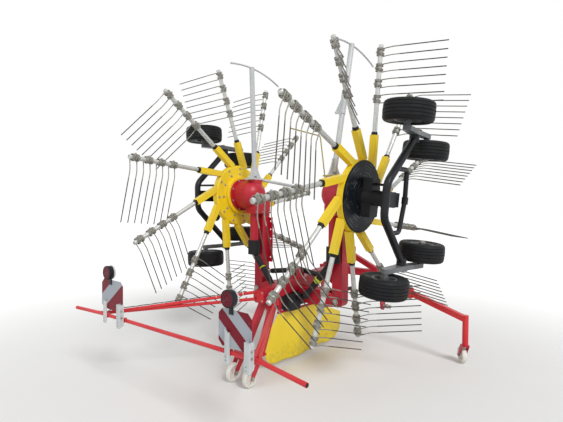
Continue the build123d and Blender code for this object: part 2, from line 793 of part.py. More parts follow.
# Drive shaft halves along z from the foot joint
def shaft_inner():
    """Lower half: joint eye, guard cone and the inner guard tube."""
    with BuildPart() as inner:
        with Locations(turned(x=90)):
            Cylinder(SHAFT_EYE_R, 2 * SHAFT_EYE_HALF)
        with BuildSketch():
            Circle(SHAFT_EYE_R)
        extrude(amount=SHAFT_CONE_START + 2)
        with BuildSketch(Plane.XY.offset(SHAFT_CONE_START)):
            Circle(SHAFT_CONE_R)
        with BuildSketch(Plane.XY.offset(SHAFT_CONE_END)):
            Circle(SHAFT_INNER_R)
        loft()
        with BuildSketch(Plane.XY.offset(SHAFT_CONE_END)):
            Circle(SHAFT_INNER_R)
        extrude(amount=SHAFT_INNER_END - SHAFT_CONE_END)
        with Locations(turned(x=90)):
            Cylinder(SHAFT_PIN_R + RUNNING_GAP, 4 * SHAFT_EYE_R, mode=Mode.SUBTRACT)
    return inner


def shaft_outer(length):
    """Upper half: the outer guard tube that slides over the inner one, neck and joint head."""
    with BuildPart() as outer:
        with BuildSketch(Plane.XY.offset(SHAFT_OUTER_START)):
            Circle(SHAFT_OUTER_R)
        extrude(amount=SHAFT_OUTER_END - SHAFT_OUTER_START)
        with BuildSketch(Plane.XY.offset(SHAFT_OUTER_END)):
            Circle(SHAFT_NECK_R)
        extrude(amount=length - SHAFT_OUTER_END)
        with Locations((0, 0, length)):
            Sphere(SHAFT_HEAD_R)
        with BuildSketch(Plane.XY.offset(SHAFT_OUTER_START)):
            Circle(SHAFT_INNER_R + RUNNING_GAP)
        extrude(amount=SHAFT_INNER_END + 5 - SHAFT_OUTER_START, mode=Mode.SUBTRACT)
    return outer


def slanted(sign, foot, head, y):
    """The place of a piece made along z from its foot, and its length."""
    start = (sign * foot[0], y, foot[1])
    end = (sign * head[0], y, head[1])
    return bar_plane(start, end, (0, 0, 1) if foot[1] == 930 else (1, 0, 0)).location, distance(start, end)


for side, sign, *others in SIDES:
    place, length = slanted(sign, CYLINDER_FOOT, CYLINDER_HEAD, cylinder_lines[side])
    save(cylinder_barrel(), f"{side}_cylinder_barrel", place)
    save(cylinder_rod(length), f"{side}_cylinder_rod", place)
    place, length = slanted(sign, SHAFT_FOOT, SHAFT_HEAD, 0)
    save(shaft_inner(), f"{side}_shaft_lower", place)
    save(shaft_outer(length), f"{side}_shaft_upper", place)


# Tube guard on each rotor gearbox: flared foot plate, post, side tube and a bent end bar
for side, sign, lean, phase, outer_rock, inner_rock, post_lean, post_length in SIDES:
    slope = math.radians(post_lean)
    post_top = (
        sign * HINGE_X,
        post_length * math.sin(slope),
        GUARD_FOOT_Z + post_length * math.cos(slope),
    )
    post_foot = (sign * HINGE_X, 0, GUARD_FOOT_Z - 10)
    with BuildPart() as guard:
        with BuildSketch(Plane.XY.offset(SADDLE_Z)):
            with Locations((sign * HINGE_X, 0)):
                Rectangle(2 * SADDLE_HALF, 2 * GUARD_FLARE_HALF)
        extrude(amount=GUARD_PLATE_THICK)
        with BuildSketch(Plane.YZ.offset(sign * HINGE_X - GUARD_PLATE_THICK / 2)):
            with BuildLine():
                foot_z = SADDLE_Z + GUARD_PLATE_THICK - 1
                flare_z = GUARD_FOOT_Z + GUARD_FLARE_TOP
                waist_z = (foot_z + 2 * flare_z) / 3
                Line((-GUARD_FLARE_HALF, foot_z), (GUARD_FLARE_HALF, foot_z))
                ThreePointArc((GUARD_FLARE_HALF, foot_z), (GUARD_FLARE_WAIST, waist_z), (GUARD_POST_R, flare_z))
                Line((GUARD_POST_R, flare_z), (-GUARD_POST_R, flare_z))
                ThreePointArc((-GUARD_POST_R, flare_z), (-GUARD_FLARE_WAIST, waist_z), (-GUARD_FLARE_HALF, foot_z))
            make_face()
        extrude(amount=GUARD_PLATE_THICK)
        with BuildSketch(bar_plane(post_foot, post_top, (1, 0, 0))):
            Circle(GUARD_POST_R)
        extrude(amount=distance(post_foot, post_top))
        with BuildLine():
            bar = ThreePointArc(
                (sign * HINGE_X, post_top[1] - GUARD_BAR_HALF * 0.7, post_top[2] - 30),
                (sign * HINGE_X, post_top[1], post_top[2] - GUARD_BAR_R),
                (sign * HINGE_X, post_top[1] + GUARD_BAR_HALF, post_top[2] - 110),
            )
        with BuildSketch(Plane(origin=bar @ 0, z_dir=bar % 0)):
            Circle(GUARD_BAR_R)
        sweep(path=bar)
        bar_radius, points = GUARD_SIDE_BARS[side]
        with BuildLine(mode=Mode.PRIVATE):
            side_bar = FilletPolyline(
                *[(sign * (HINGE_X + x), y, z) for x, y, z in points],
                radius=GUARD_BAR_BEND_R,
            )
        with BuildSketch(Plane(origin=side_bar @ 0, z_dir=side_bar % 0)):
            Circle(bar_radius)
        sweep(path=side_bar)
    save(guard, f"{side}_tube_guard")


# Main frame: fore-and-aft beam, cross beam with the hinge lugs, cylinder anchor, curtain rail
beam_slope = (BEAM_KNEE_TOP - BEAM_REAR_TOP) / (BEAM_KNEE - BEAM_REAR)


def beam_top(y):
    """Height of the beam's top face behind its knee."""
    return BEAM_REAR_TOP + (y - BEAM_REAR) * beam_slope


with BuildPart() as main_frame:
    with BuildSketch(Plane.YZ.offset(-BEAM_HALF_WIDTH)):
        with BuildLine():
            Polyline(
                (BEAM_REAR, BEAM_REAR_TOP),
                (BEAM_KNEE, BEAM_KNEE_TOP),
                (BEAM_FRONT, BEAM_KNEE_TOP),
                (BEAM_FRONT, BEAM_KNEE_TOP - BEAM_DEPTH),
                (BEAM_KNEE, BEAM_KNEE_TOP - BEAM_DEPTH),
                (BEAM_REAR, BEAM_REAR_TOP - BEAM_DEPTH),
                close=True,
            )
        make_face()
    extrude(amount=2 * BEAM_HALF_WIDTH)
    with BuildSketch(Plane.XY.offset(CROSS_BEAM_BOTTOM)):
        with Locations((0, MAST_Y)):
            Rectangle(2 * CROSS_BEAM_HALF_X, 2 * CROSS_BEAM_HALF_Y)
    extrude(amount=CROSS_BEAM_TOP - CROSS_BEAM_BOTTOM)
    inner_face = MAST_WIDTH / 2 + SIDE_GAP
    for near in (MAST_Y - inner_face - HINGE_LUG_THICK, MAST_Y + inner_face):
        for sign in (-1, 1):
            with BuildSketch(Plane.XZ.offset(-near)):
                with BuildSketch(mode=Mode.PRIVATE) as lug:
                    with Locations((sign * HINGE_X, HINGE_Z)):
                        Circle(HINGE_LUG_R)
                    with Locations((sign * LUG_ROOT_X, (CROSS_BEAM_BOTTOM + CROSS_BEAM_TOP) / 2)):
                        Rectangle(60, CROSS_BEAM_TOP - CROSS_BEAM_BOTTOM)
                    make_hull()
                add(lug.sketch)
            extrude(amount=-HINGE_LUG_THICK)
    for sign in (-1, 1):
        with Locations(Location((sign * HINGE_X, MAST_Y, HINGE_Z)) * turned(x=90)):
            Cylinder(HINGE_PIN_R, MAST_WIDTH + 2 * (SIDE_GAP + HINGE_LUG_THICK) + 20)
    anchor_z = beam_top(MAST_Y)
    with BuildSketch(Plane.XY.offset(anchor_z - 8)):
        with Locations((0, MAST_Y)):
            Rectangle(4 * CYLINDER_R + 80, 2 * (CYLINDER_SPREAD + lug_gap + CYLINDER_LUG_THICK))
    extrude(amount=16)
    for side, sign, *others in SIDES:
        line_y = cylinder_lines[side]
        for near in (line_y - lug_gap - CYLINDER_LUG_THICK, line_y + lug_gap):
            with BuildSketch(Plane.XZ.offset(-near)):
                with BuildSketch(mode=Mode.PRIVATE) as ear:
                    with Locations((sign * CYLINDER_FOOT[0], CYLINDER_FOOT[1])):
                        Circle(CYLINDER_LUG_R)
                    with Locations((sign * CYLINDER_FOOT[0], anchor_z + 6)):
                        Rectangle(70, 4)
                    make_hull()
                add(ear.sketch)
            extrude(amount=-CYLINDER_LUG_THICK)
        with Locations(Location((sign * CYLINDER_FOOT[0], line_y, CYLINDER_FOOT[1])) * turned(x=90)):
            Cylinder(CYLINDER_PIN_R, 2 * (lug_gap + CYLINDER_LUG_THICK))
    rail_start = (0, *RAIL_ENDS[0])
    rail_end = (0, *RAIL_ENDS[1])
    with BuildSketch(bar_plane(rail_start, rail_end, (1, 0, 0))):
        Circle(RAIL_R)
    extrude(amount=distance(rail_start, rail_end))
    rail_slope = (RAIL_ENDS[1][1] - RAIL_ENDS[0][1]) / (RAIL_ENDS[1][0] - RAIL_ENDS[0][0])
    for rear, front, half_gap in HANGERS:
        rail_rear = RAIL_ENDS[0][1] + (rear - RAIL_ENDS[0][0]) * rail_slope
        rail_front = RAIL_ENDS[0][1] + (front - RAIL_ENDS[0][0]) * rail_slope
        with BuildSketch(Plane.YZ, mode=Mode.PRIVATE) as hanger:
            with BuildLine():
                Polyline(
                    (rear, rail_rear),
                    (rear, beam_top(rear) - BEAM_DEPTH + 5),
                    (front, beam_top(front) - BEAM_DEPTH + 5),
                    (front, rail_front),
                    close=True,
                )
            make_face()
        for sign in (-1, 1):
            extrude(hanger.sketch.moved(Location((sign * half_gap, 0, 0))), amount=sign * HANGER_THICK)
        with BuildSketch(Plane.YZ.offset(-half_gap - HANGER_THICK)):
            with BuildLine():
                Polyline(
                    (rear, rail_rear - HANGER_THICK),
                    (rear, rail_rear + HANGER_THICK),
                    (front, rail_front + HANGER_THICK),
                    (front, rail_front - HANGER_THICK),
                    close=True,
                )
            make_face()
        extrude(amount=2 * (half_gap + HANGER_THICK))
save(main_frame, "main_frame")


# Headstock: cross tube, hitch plates and pins, top link ears, struts and the inner stand beams
with BuildPart() as headstock:
    with BuildSketch(Plane.YZ.offset(-HEAD_TUBE_HALF_X)):
        with Locations((HEAD_Y, HEAD_TUBE_Z)):
            Rectangle(HEAD_TUBE, HEAD_TUBE)
    extrude(amount=2 * HEAD_TUBE_HALF_X)
    for sign in (-1, 1):
        outer_face = sign * (HITCH_PLATE_X + HITCH_PLATE_THICK)
        with BuildSketch(Plane.YZ.offset(sign * HITCH_PLATE_X)):
            with BuildSketch(mode=Mode.PRIVATE) as plate:
                with Locations((HITCH_PIN_Y, HITCH_PIN_Z)):
                    Circle(HITCH_EYE_R)
                with Locations((HEAD_Y, HEAD_TUBE_Z)):
                    Rectangle(HEAD_TUBE, HEAD_TUBE)
                make_hull()
            add(plate.sketch)
        extrude(amount=sign * HITCH_PLATE_THICK)
        with BuildSketch(Plane.YZ.offset(outer_face)):
            with Locations((HITCH_PIN_Y, HITCH_PIN_Z)):
                Circle(HITCH_PIN_R)
        extrude(amount=sign * HITCH_PIN_LENGTH)
        strut_foot_x = sign * (HITCH_PLATE_X - STRUT_TUBE / 2)
        strut_head_x = sign * (TOP_LINK_GAP + TOP_LINK_EAR_THICK) / 2
        with BuildSketch(Plane.XZ.offset(-HEAD_Y + STRUT_TUBE / 2)):
            with BuildLine():
                Polyline(
                    (strut_foot_x, HEAD_TUBE_Z),
                    (strut_foot_x, HEAD_TUBE_Z + STRUT_HEIGHT),
                    (strut_head_x, STRUT_TOP),
                    (strut_head_x, STRUT_TOP - STRUT_HEIGHT),
                    close=True,
                )
            make_face()
        extrude(amount=-STRUT_TUBE)
        with BuildSketch(Plane.YZ.offset(sign * TOP_LINK_GAP / 2)):
            with BuildSketch(mode=Mode.PRIVATE) as ear:
                with Locations((TOP_LINK_Y, TOP_LINK_Z)):
                    Circle(TOP_LINK_EAR_R)
                with Locations((HEAD_Y, HEAD_TUBE_Z)):
                    Rectangle(HEAD_TUBE, HEAD_TUBE)
                make_hull()
            add(ear.sketch)
            with Locations((TOP_LINK_Y, TOP_LINK_Z)):
                Circle(TOP_LINK_BORE_R, mode=Mode.SUBTRACT)
        extrude(amount=sign * TOP_LINK_EAR_THICK)
        root = (sign * STAND_ROOT[0], STAND_ROOT[1], STAND_ROOT[2])
        lug_z = STAND_PIN_Z
        end = (sign * (STAND_PIN_X - KNUCKLE_R - 12), STAND_PIN_Y, lug_z + 12)
        with BuildSketch(bar_plane(root, end, (0, 1, 0))):
            Rectangle(STAND_BEAM, STAND_BEAM + 12)
        extrude(amount=distance(root, end))
        for low in (lug_z + KNUCKLE_HALF + RUNNING_GAP, lug_z - KNUCKLE_HALF - RUNNING_GAP - LUG_PLATE_THICK):
            with BuildSketch(Plane.XY.offset(low)):
                with BuildSketch(mode=Mode.PRIVATE) as ear:
                    with Locations((sign * STAND_PIN_X, STAND_PIN_Y)):
                        Circle(STAND_LUG_R)
                    with Locations((sign * (STAND_PIN_X - KNUCKLE_R - 50), STAND_PIN_Y)):
                        Rectangle(50, STAND_BEAM)
                    make_hull()
                add(ear.sketch)
            extrude(amount=LUG_PLATE_THICK)
        with BuildSketch(Plane.XY.offset(lug_z - KNUCKLE_HALF - LUG_PLATE_THICK)):
            with Locations((sign * (STAND_PIN_X - KNUCKLE_R - 50), STAND_PIN_Y)):
                Rectangle(50, STAND_BEAM)
        extrude(amount=2 * (KNUCKLE_HALF + LUG_PLATE_THICK))
        with BuildSketch(Plane.XY.offset(lug_z - KNUCKLE_HALF - LUG_PLATE_THICK)):
            with Locations((sign * STAND_PIN_X, STAND_PIN_Y)):
                Circle(STAND_PIN_R)
        extrude(amount=2 * (KNUCKLE_HALF + LUG_PLATE_THICK))
save(headstock, "headstock")


# Middle gearbox with its two output yokes
with BuildPart() as gearbox:
    with BuildSketch(Plane.XY.offset(BOX_BOTTOM)):
        with Locations((0, (BOX_REAR + BOX_FRONT) / 2)):
            RectangleRounded(2 * BOX_HALF_X, BOX_FRONT - BOX_REAR, 24)
    extrude(amount=BOX_TOP - BOX_BOTTOM)
    for sign in (-1, 1):
        yoke_end = SHAFT_FOOT[0] - SHAFT_CONE_START + 4
        with BuildSketch(Plane.YZ.offset(sign * BOX_HALF_X)):
            with Locations((0, SHAFT_FOOT[1])):
                Circle(OUTPUT_R)
        extrude(amount=sign * (OUTPUT_END - BOX_HALF_X))
        for near in (-SHAFT_EYE_HALF - SIDE_GAP - YOKE_EAR_THICK, SHAFT_EYE_HALF + SIDE_GAP):
            with BuildSketch(Plane.XZ.offset(-near)):
                with BuildSketch(mode=Mode.PRIVATE) as ear:
                    with Locations((sign * SHAFT_FOOT[0], SHAFT_FOOT[1])):
                        Circle(SHAFT_EYE_R)
                    with Locations((sign * (OUTPUT_END - 2), SHAFT_FOOT[1])):
                        Rectangle(4, 2 * SHAFT_EYE_R)
                    make_hull()
                add(ear.sketch)
            extrude(amount=-YOKE_EAR_THICK)
        with Locations(Location((sign * SHAFT_FOOT[0], 0, SHAFT_FOOT[1])) * turned(x=90)):
            Cylinder(SHAFT_PIN_R, 2 * (SHAFT_EYE_HALF + SIDE_GAP + YOKE_EAR_THICK))
save(gearbox, "middle_gearbox")

with BuildPart() as input_shaft:
    with BuildSketch(Plane.XZ.offset(-BOX_FRONT)):
        with Locations((0, INPUT_Z)):
            Circle(INPUT_TUBE_R)
    extrude(amount=-(INPUT_END_Y - BOX_FRONT))
    with BuildSketch(Plane.XZ.offset(-INPUT_END_Y)):
        with Locations((0, INPUT_Z)):
            Circle(PTO_R)
    extrude(amount=-PTO_LENGTH)
save(input_shaft, "input_shaft")


# Rear leg: two slanting tubes down to the castor plate
with BuildPart() as rear_leg:
    for sign in (-1, 1):
        top = (sign * LEG_TOP[0], LEG_TOP[1], LEG_TOP[2])
        foot = (sign * LEG_FOOT[0], LEG_FOOT[1], LEG_FOOT[2])
        with BuildSketch(bar_plane(top, foot, (1, 0, 0))):
            Rectangle(LEG_TUBE, LEG_TUBE)
        extrude(amount=distance(top, foot))
    under_beam = Plane(
        origin=(0, BEAM_REAR, BEAM_REAR_TOP - BEAM_DEPTH - RUNNING_GAP),
        z_dir=(0, -beam_slope, 1),
    )
    split(bisect_by=under_beam, keep=Keep.BOTTOM)
    split(bisect_by=Plane.XY.offset(CASTOR_PLATE_Z - CASTOR_PLATE_THICK), keep=Keep.TOP)
    with BuildSketch(Plane.XY.offset(CASTOR_PLATE_Z - CASTOR_PLATE_THICK)):
        with Locations((0, (CASTOR_PLATE_REAR + CASTOR_PLATE_FRONT) / 2)):
            RectangleRounded(2 * CASTOR_PLATE_HALF_X, CASTOR_PLATE_FRONT - CASTOR_PLATE_REAR, 20)
    extrude(amount=CASTOR_PLATE_THICK)
    bush_bottom = FORK_CROWN_Z + FORK_CROWN_THICK + RUNNING_GAP
    with BuildSketch(Plane.XY.offset(bush_bottom)):
        with Locations((-CASTOR_SPREAD, REAR_CASTOR_Y), (CASTOR_SPREAD, REAR_CASTOR_Y)):
            Circle(BUSH_R)
    extrude(amount=CASTOR_PLATE_Z - bush_bottom)
    with BuildSketch(Plane.XY.offset(bush_bottom)):
        with Locations((-CASTOR_SPREAD, REAR_CASTOR_Y), (CASTOR_SPREAD, REAR_CASTOR_Y)):
            Circle(STEM_R + RUNNING_GAP)
    extrude(amount=CASTOR_PLATE_Z - bush_bottom, mode=Mode.SUBTRACT)
save(rear_leg, "rear_leg")


# Castor about its upright stem, its wheel trailing along x
with BuildPart() as castor_fork:
    with BuildSketch(Plane.XY.offset(FORK_CROWN_Z)):
        with BuildSketch(mode=Mode.PRIVATE) as crown:
            Circle(FORK_CROWN_R)
            with Locations((20, 0)):
                Rectangle(40, 2 * (FORK_GAP + FORK_THICK))
            make_hull()
        add(crown.sketch)
    extrude(amount=FORK_CROWN_THICK)
    with BuildSketch(Plane.XY.offset(FORK_CROWN_Z)):
        Circle(STEM_R)
    extrude(amount=STEM_TOP - FORK_CROWN_Z)
    for near in (-FORK_GAP - FORK_THICK, FORK_GAP):
        with BuildSketch(Plane.XZ.offset(-near)):
            with BuildSketch(mode=Mode.PRIVATE) as blade:
                with Locations((CASTOR_TRAIL, CASTOR_R)):
                    Circle(FORK_END_R)
                with Locations((8, FORK_CROWN_Z + FORK_CROWN_THICK / 2)):
                    Rectangle(56, FORK_CROWN_THICK)
                make_hull()
            add(blade.sketch)
        extrude(amount=-FORK_THICK)
    with Locations(Location((CASTOR_TRAIL, 0, CASTOR_R)) * turned(x=90)):
        Cylinder(CASTOR_AXLE_R, 2 * (FORK_GAP + FORK_THICK))

with BuildPart() as castor_wheel:
    with BuildSketch(Plane.XZ):
        with Locations((CASTOR_TRAIL, CASTOR_R)):
            Circle(CASTOR_R)
            Circle(CASTOR_AXLE_R + RUNNING_GAP, mode=Mode.SUBTRACT)
    extrude(amount=CASTOR_HALF_WIDTH, both=True)
    fillet(castor_wheel.edges().filter_by(GeomType.CIRCLE).sort_by(lambda edge: edge.radius)[-2:], 12)
    with BuildSketch(Plane.XZ):
        with Locations((CASTOR_TRAIL, CASTOR_R)):
            Circle(20)
            Circle(CASTOR_AXLE_R + RUNNING_GAP, mode=Mode.SUBTRACT)
    extrude(amount=FORK_GAP - SIDE_GAP / 2, both=True)

# Castors: name, x and y of the stem, direction in which the wheel trails
CASTORS = [
    ("rear_left", -CASTOR_SPREAD, REAR_CASTOR_Y, -90),
    ("rear_right", CASTOR_SPREAD, REAR_CASTOR_Y, -90),
    ("stand_left", -STAND_LEG_X, STAND_LEG_Y, 180 - STAND_CASTOR_ANGLE),
    ("stand_right", STAND_LEG_X, STAND_LEG_Y, STAND_CASTOR_ANGLE),
]
for name, x, y, direction in CASTORS:
    place = Location((x, y, 0)) * turned(z=direction)
    save(castor_fork, f"{name}_castor_fork", place)
    save(castor_wheel, f"{name}_castor_wheel", place)


# Outrigger stands: swinging outer beam with its knuckle, and the leg over the castor
for side, sign, *others in SIDES:
    pin = (sign * STAND_PIN_X, STAND_PIN_Y)
    leg = (sign * STAND_LEG_X, STAND_LEG_Y)
    beam_start = (*pin, STAND_PIN_Z)
    beam_end = (*leg, STAND_END_Z)
    with BuildPart() as stand:
        with BuildSketch(bar_plane(beam_start, beam_end, (0, 1, 0))):
            Rectangle(STAND_BEAM, STAND_BEAM - 4)
        extrude(amount=distance(beam_start, beam_end))
        with BuildSketch(Plane.XY.offset(STAND_PIN_Z - KNUCKLE_HALF)):
            with Locations(pin):
                Circle(KNUCKLE_R)
        extrude(amount=2 * KNUCKLE_HALF)
        bush_bottom = FORK_CROWN_Z + FORK_CROWN_THICK + RUNNING_GAP
        with BuildSketch(Plane.XY.offset(bush_bottom)):
            with Locations(leg):
                Circle(STAND_LEG_R)
        extrude(amount=STAND_LEG_TOP - bush_bottom)
        with BuildSketch(Plane.XY.offset(bush_bottom)):
            with Locations(leg):
                Circle(STEM_R + RUNNING_GAP)
        extrude(amount=STEM_TOP + 6 - bush_bottom, mode=Mode.SUBTRACT)
        with BuildSketch(Plane.XY.offset(STAND_PIN_Z - KNUCKLE_HALF)):
            with Locations(pin):
                Circle(STAND_PIN_R + RUNNING_GAP)
        extrude(amount=2 * KNUCKLE_HALF, mode=Mode.SUBTRACT)
    save(stand, f"{side}_stand")


# Light frame: cross bar with thinner swept ends and two pairs of stays
with BuildPart() as light_frame:
    bars = [((-LIGHT_ELBOW_X, LIGHT_Y, LIGHT_Z), (LIGHT_ELBOW_X, LIGHT_Y, LIGHT_Z))]
    for sign in (-1, 1):
        elbow = (sign * LIGHT_ELBOW_X, LIGHT_Y, LIGHT_Z)
        bars.append((elbow, (sign * LIGHT_END[0], LIGHT_END[1], LIGHT_END[2])))
        for y, z in STAY_ROOTS:
            bars.append(((sign * (BEAM_HALF_WIDTH - 8), y, z), elbow))
    for start, end in bars:
        with BuildSketch(bar_plane(start, end, (0, 0, 1))):
            Circle(LIGHT_TUBE_R)
        extrude(amount=distance(start, end))
    with BuildSketch(Plane.XZ.offset(-BEAM_REAR + RUNNING_GAP)):
        with Locations((0, (STAY_PLATE_BOTTOM + BEAM_REAR_TOP) / 2)):
            Rectangle(2 * STAY_PLATE_HALF_X, BEAM_REAR_TOP - STAY_PLATE_BOTTOM)
    extrude(amount=STAY_PLATE_THICK)
    clamp_rear = BOARD_Y - CHANNEL_DEPTH + CHANNEL_WALL
    with BuildSketch(Plane.XY.offset(LIGHT_Z - CLAMP_HALF)):
        for sign in (-1, 1):
            for middle, *others in CHANNELS:
                with Locations((sign * BOARD_X + BOARD_SHIFT + middle, (LIGHT_Y + clamp_rear) / 2)):
                    Rectangle(2 * CLAMP_HALF, LIGHT_Y - clamp_rear)
    extrude(amount=2 * CLAMP_HALF)
save(light_frame, "light_frame")

channel_y = BOARD_Y - RUNNING_GAP - CHANNEL_DEPTH / 2
with BuildPart() as channels:
    for sign in (-1, 1):
        for middle, width, bottom, top in CHANNELS:
            channel_x = sign * BOARD_X + BOARD_SHIFT + middle
            with BuildSketch(Plane.XY.offset(bottom)):
                with Locations((channel_x, channel_y)):
                    Rectangle(width, CHANNEL_DEPTH)
                with Locations((channel_x, channel_y + CHANNEL_WALL)):
                    Rectangle(width - 2 * CHANNEL_WALL, CHANNEL_DEPTH, mode=Mode.SUBTRACT)
            extrude(amount=top - bottom)
save(channels, "board_channels")

with BuildPart() as boards:
    for sign in (-1, 1):
        with BuildSketch(Plane.XZ.offset(-BOARD_Y)):
            with Locations((sign * BOARD_X + BOARD_SHIFT, BOARD_TOP - BOARD_HEIGHT / 2)):
                RectangleRounded(BOARD_WIDTH, BOARD_HEIGHT, 12)
        extrude(amount=-BOARD_THICK)
save(boards, "warning_boards")

with BuildPart() as lamps:
    for sign in (-1, 1):
        with BuildSketch(Plane.XZ.offset(-LAMP_FRONT)):
            with Locations((sign * BOARD_X, LAMP_Z)):
                Circle(LAMP_R)
        extrude(amount=LAMP_DEPTH)
save(lamps, "rear_lamps")


# Curtain between the rotors, a flat sheet under its rail
with BuildPart() as curtain:
    with BuildSketch(Plane.YZ.offset(-CURTAIN_THICK / 2)):
        with BuildLine():
            Polyline(*CURTAIN_OUTLINE, close=True)
        make_face()
        rounded = [CURTAIN_OUTLINE[index] for index in CURTAIN_ROUNDED]
        fillet([vertices().sort_by_distance(corner)[0] for corner in rounded], CURTAIN_CORNER_R)
    extrude(amount=CURTAIN_THICK)
save(curtain, "guard_curtain")
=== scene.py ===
"""Looks of a folded two-rotor hay rake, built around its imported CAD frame.

Metres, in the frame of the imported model: x to the right, y forward to the tractor, z up.
"""

from __future__ import annotations

import json
import logging
import math
from dataclasses import dataclass
from enum import Enum
from typing import Iterable, Sequence

import bmesh
import bpy
from mathutils import Matrix, Vector

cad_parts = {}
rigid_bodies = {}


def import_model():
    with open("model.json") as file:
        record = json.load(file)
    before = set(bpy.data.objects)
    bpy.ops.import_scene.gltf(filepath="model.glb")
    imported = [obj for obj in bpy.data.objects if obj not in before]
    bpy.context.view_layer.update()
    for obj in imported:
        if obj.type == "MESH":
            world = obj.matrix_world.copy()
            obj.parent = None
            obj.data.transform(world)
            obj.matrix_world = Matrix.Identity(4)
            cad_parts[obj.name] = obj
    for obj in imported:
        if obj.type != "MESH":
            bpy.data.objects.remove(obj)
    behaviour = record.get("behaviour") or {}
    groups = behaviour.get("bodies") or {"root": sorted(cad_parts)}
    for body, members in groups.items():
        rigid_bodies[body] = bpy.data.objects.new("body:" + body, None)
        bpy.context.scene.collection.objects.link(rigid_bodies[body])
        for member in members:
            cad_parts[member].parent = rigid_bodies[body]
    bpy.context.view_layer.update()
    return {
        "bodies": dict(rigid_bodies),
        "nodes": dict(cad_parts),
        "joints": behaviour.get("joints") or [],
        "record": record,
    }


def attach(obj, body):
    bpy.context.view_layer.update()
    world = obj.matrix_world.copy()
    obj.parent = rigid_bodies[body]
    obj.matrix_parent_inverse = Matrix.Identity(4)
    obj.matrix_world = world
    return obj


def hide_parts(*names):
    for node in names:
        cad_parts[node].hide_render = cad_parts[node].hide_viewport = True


LOG = logging.getLogger("hay_rake")

Colour = tuple[float, float, float]
Point = tuple[float, float, float]
Section = Sequence[tuple[float, float]]
Shape = bmesh.types.BMesh
Socket = bpy.types.NodeSocket

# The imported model's origin lies in the middle of its outline, this far from the machine's own
ORIGIN_SHIFT = Vector((0.039, -0.0938, 0.0))
OWN = Matrix.Identity(4)
IMAGE_WIDTH = 563


def at(x: float, y: float, z: float) -> Vector:
    """A point given from the rotor axes and the middle of the frame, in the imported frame."""
    return Vector((x, y, z)) - ORIGIN_SHIFT


def circle(degrees: float) -> tuple[float, float]:
    """The point of the unit circle at an angle: its cosine and its sine."""
    return math.cos(math.radians(degrees)), math.sin(math.radians(degrees))


def moved(x: float, y: float = 0.0, z: float = 0.0) -> Matrix:
    """A shift along the axes."""
    return Matrix.Translation((x, y, z))


def turned(axis: str, degrees: float) -> Matrix:
    """A turn about one axis."""
    return Matrix.Rotation(math.radians(degrees), 4, axis)


def facing(point: Vector, direction: Sequence[float]) -> Matrix:
    """A frame at a point whose x axis points in a direction."""
    turn = Vector(direction).to_track_quat("X", "Z")
    return Matrix.Translation(point) @ turn.to_matrix().to_4x4()


def framed(*columns: Vector) -> Matrix:
    """A frame from its x, y and z axes and its origin."""
    rows = [[column[row] for column in columns] for row in range(3)]
    return Matrix((*rows, (0, 0, 0, 1)))


MACHINE = Matrix.Translation(at(0, 0, 0))


class Side(Enum):
    """The machine's two sides, with the sign of x on each."""

    RIGHT = 1
    LEFT = -1

    @property
    def word(self) -> str:
        """The side's name at the start of its pieces and bodies."""
        return self.name.lower()


# Materials


class Steps:
    """Steps that any shader's node tree is built from."""

    def __init__(self, owner: bpy.types.Material | bpy.types.World) -> None:
        """Start with the tree of a material or a world."""
        owner.use_nodes = True
        self.tree = owner.node_tree

    def node(self, kind: str, inputs: dict[str | int, object] | None = None,
             **settings: object) -> bpy.types.Node:
        """Add a node.

        Args:
            kind: Type of the node.
            inputs: What its inputs get, each a socket or a value.
            **settings: Its plain properties.

        Returns:
            The node.
        """
        made = self.tree.nodes.new(kind)
        for key, value in settings.items():
            setattr(made, key, value)
        for key, value in (inputs or {}).items():
            self.feed(made.inputs[key], value)
        return made

    def feed(self, socket: Socket, value: object) -> None:
        """Link a socket into an input, or set the input's own value."""
        if isinstance(value, bpy.types.NodeSocket):
            self.tree.links.new(value, socket)
        else:
            socket.default_value = (*value, 1.0) if socket.type == "RGBA" else value

    def scaled(self, value: object, low: float, high: float) -> Socket:
        """A value from 0 to 1 spread between two others."""
        inputs = {"Value": value, "To Min": low, "To Max": high}
        return self.node("ShaderNodeMapRange", inputs).outputs["Result"]

    def calc(self, operation: str, first: object, second: object = 0.0) -> Socket:
        """One step of arithmetic."""
        return self.node("ShaderNodeMath", {0: first, 1: second}, operation=operation).outputs[0]

    def seen(self) -> Socket:
        """1 for rays that show the backdrop, directly or in or through something, else 0."""
        rays = self.node("ShaderNodeLightPath").outputs
        direct = self.calc("MAXIMUM", rays["Is Camera Ray"], rays["Is Glossy Ray"])
        return self.calc("MAXIMUM", direct, rays["Is Transmission Ray"])


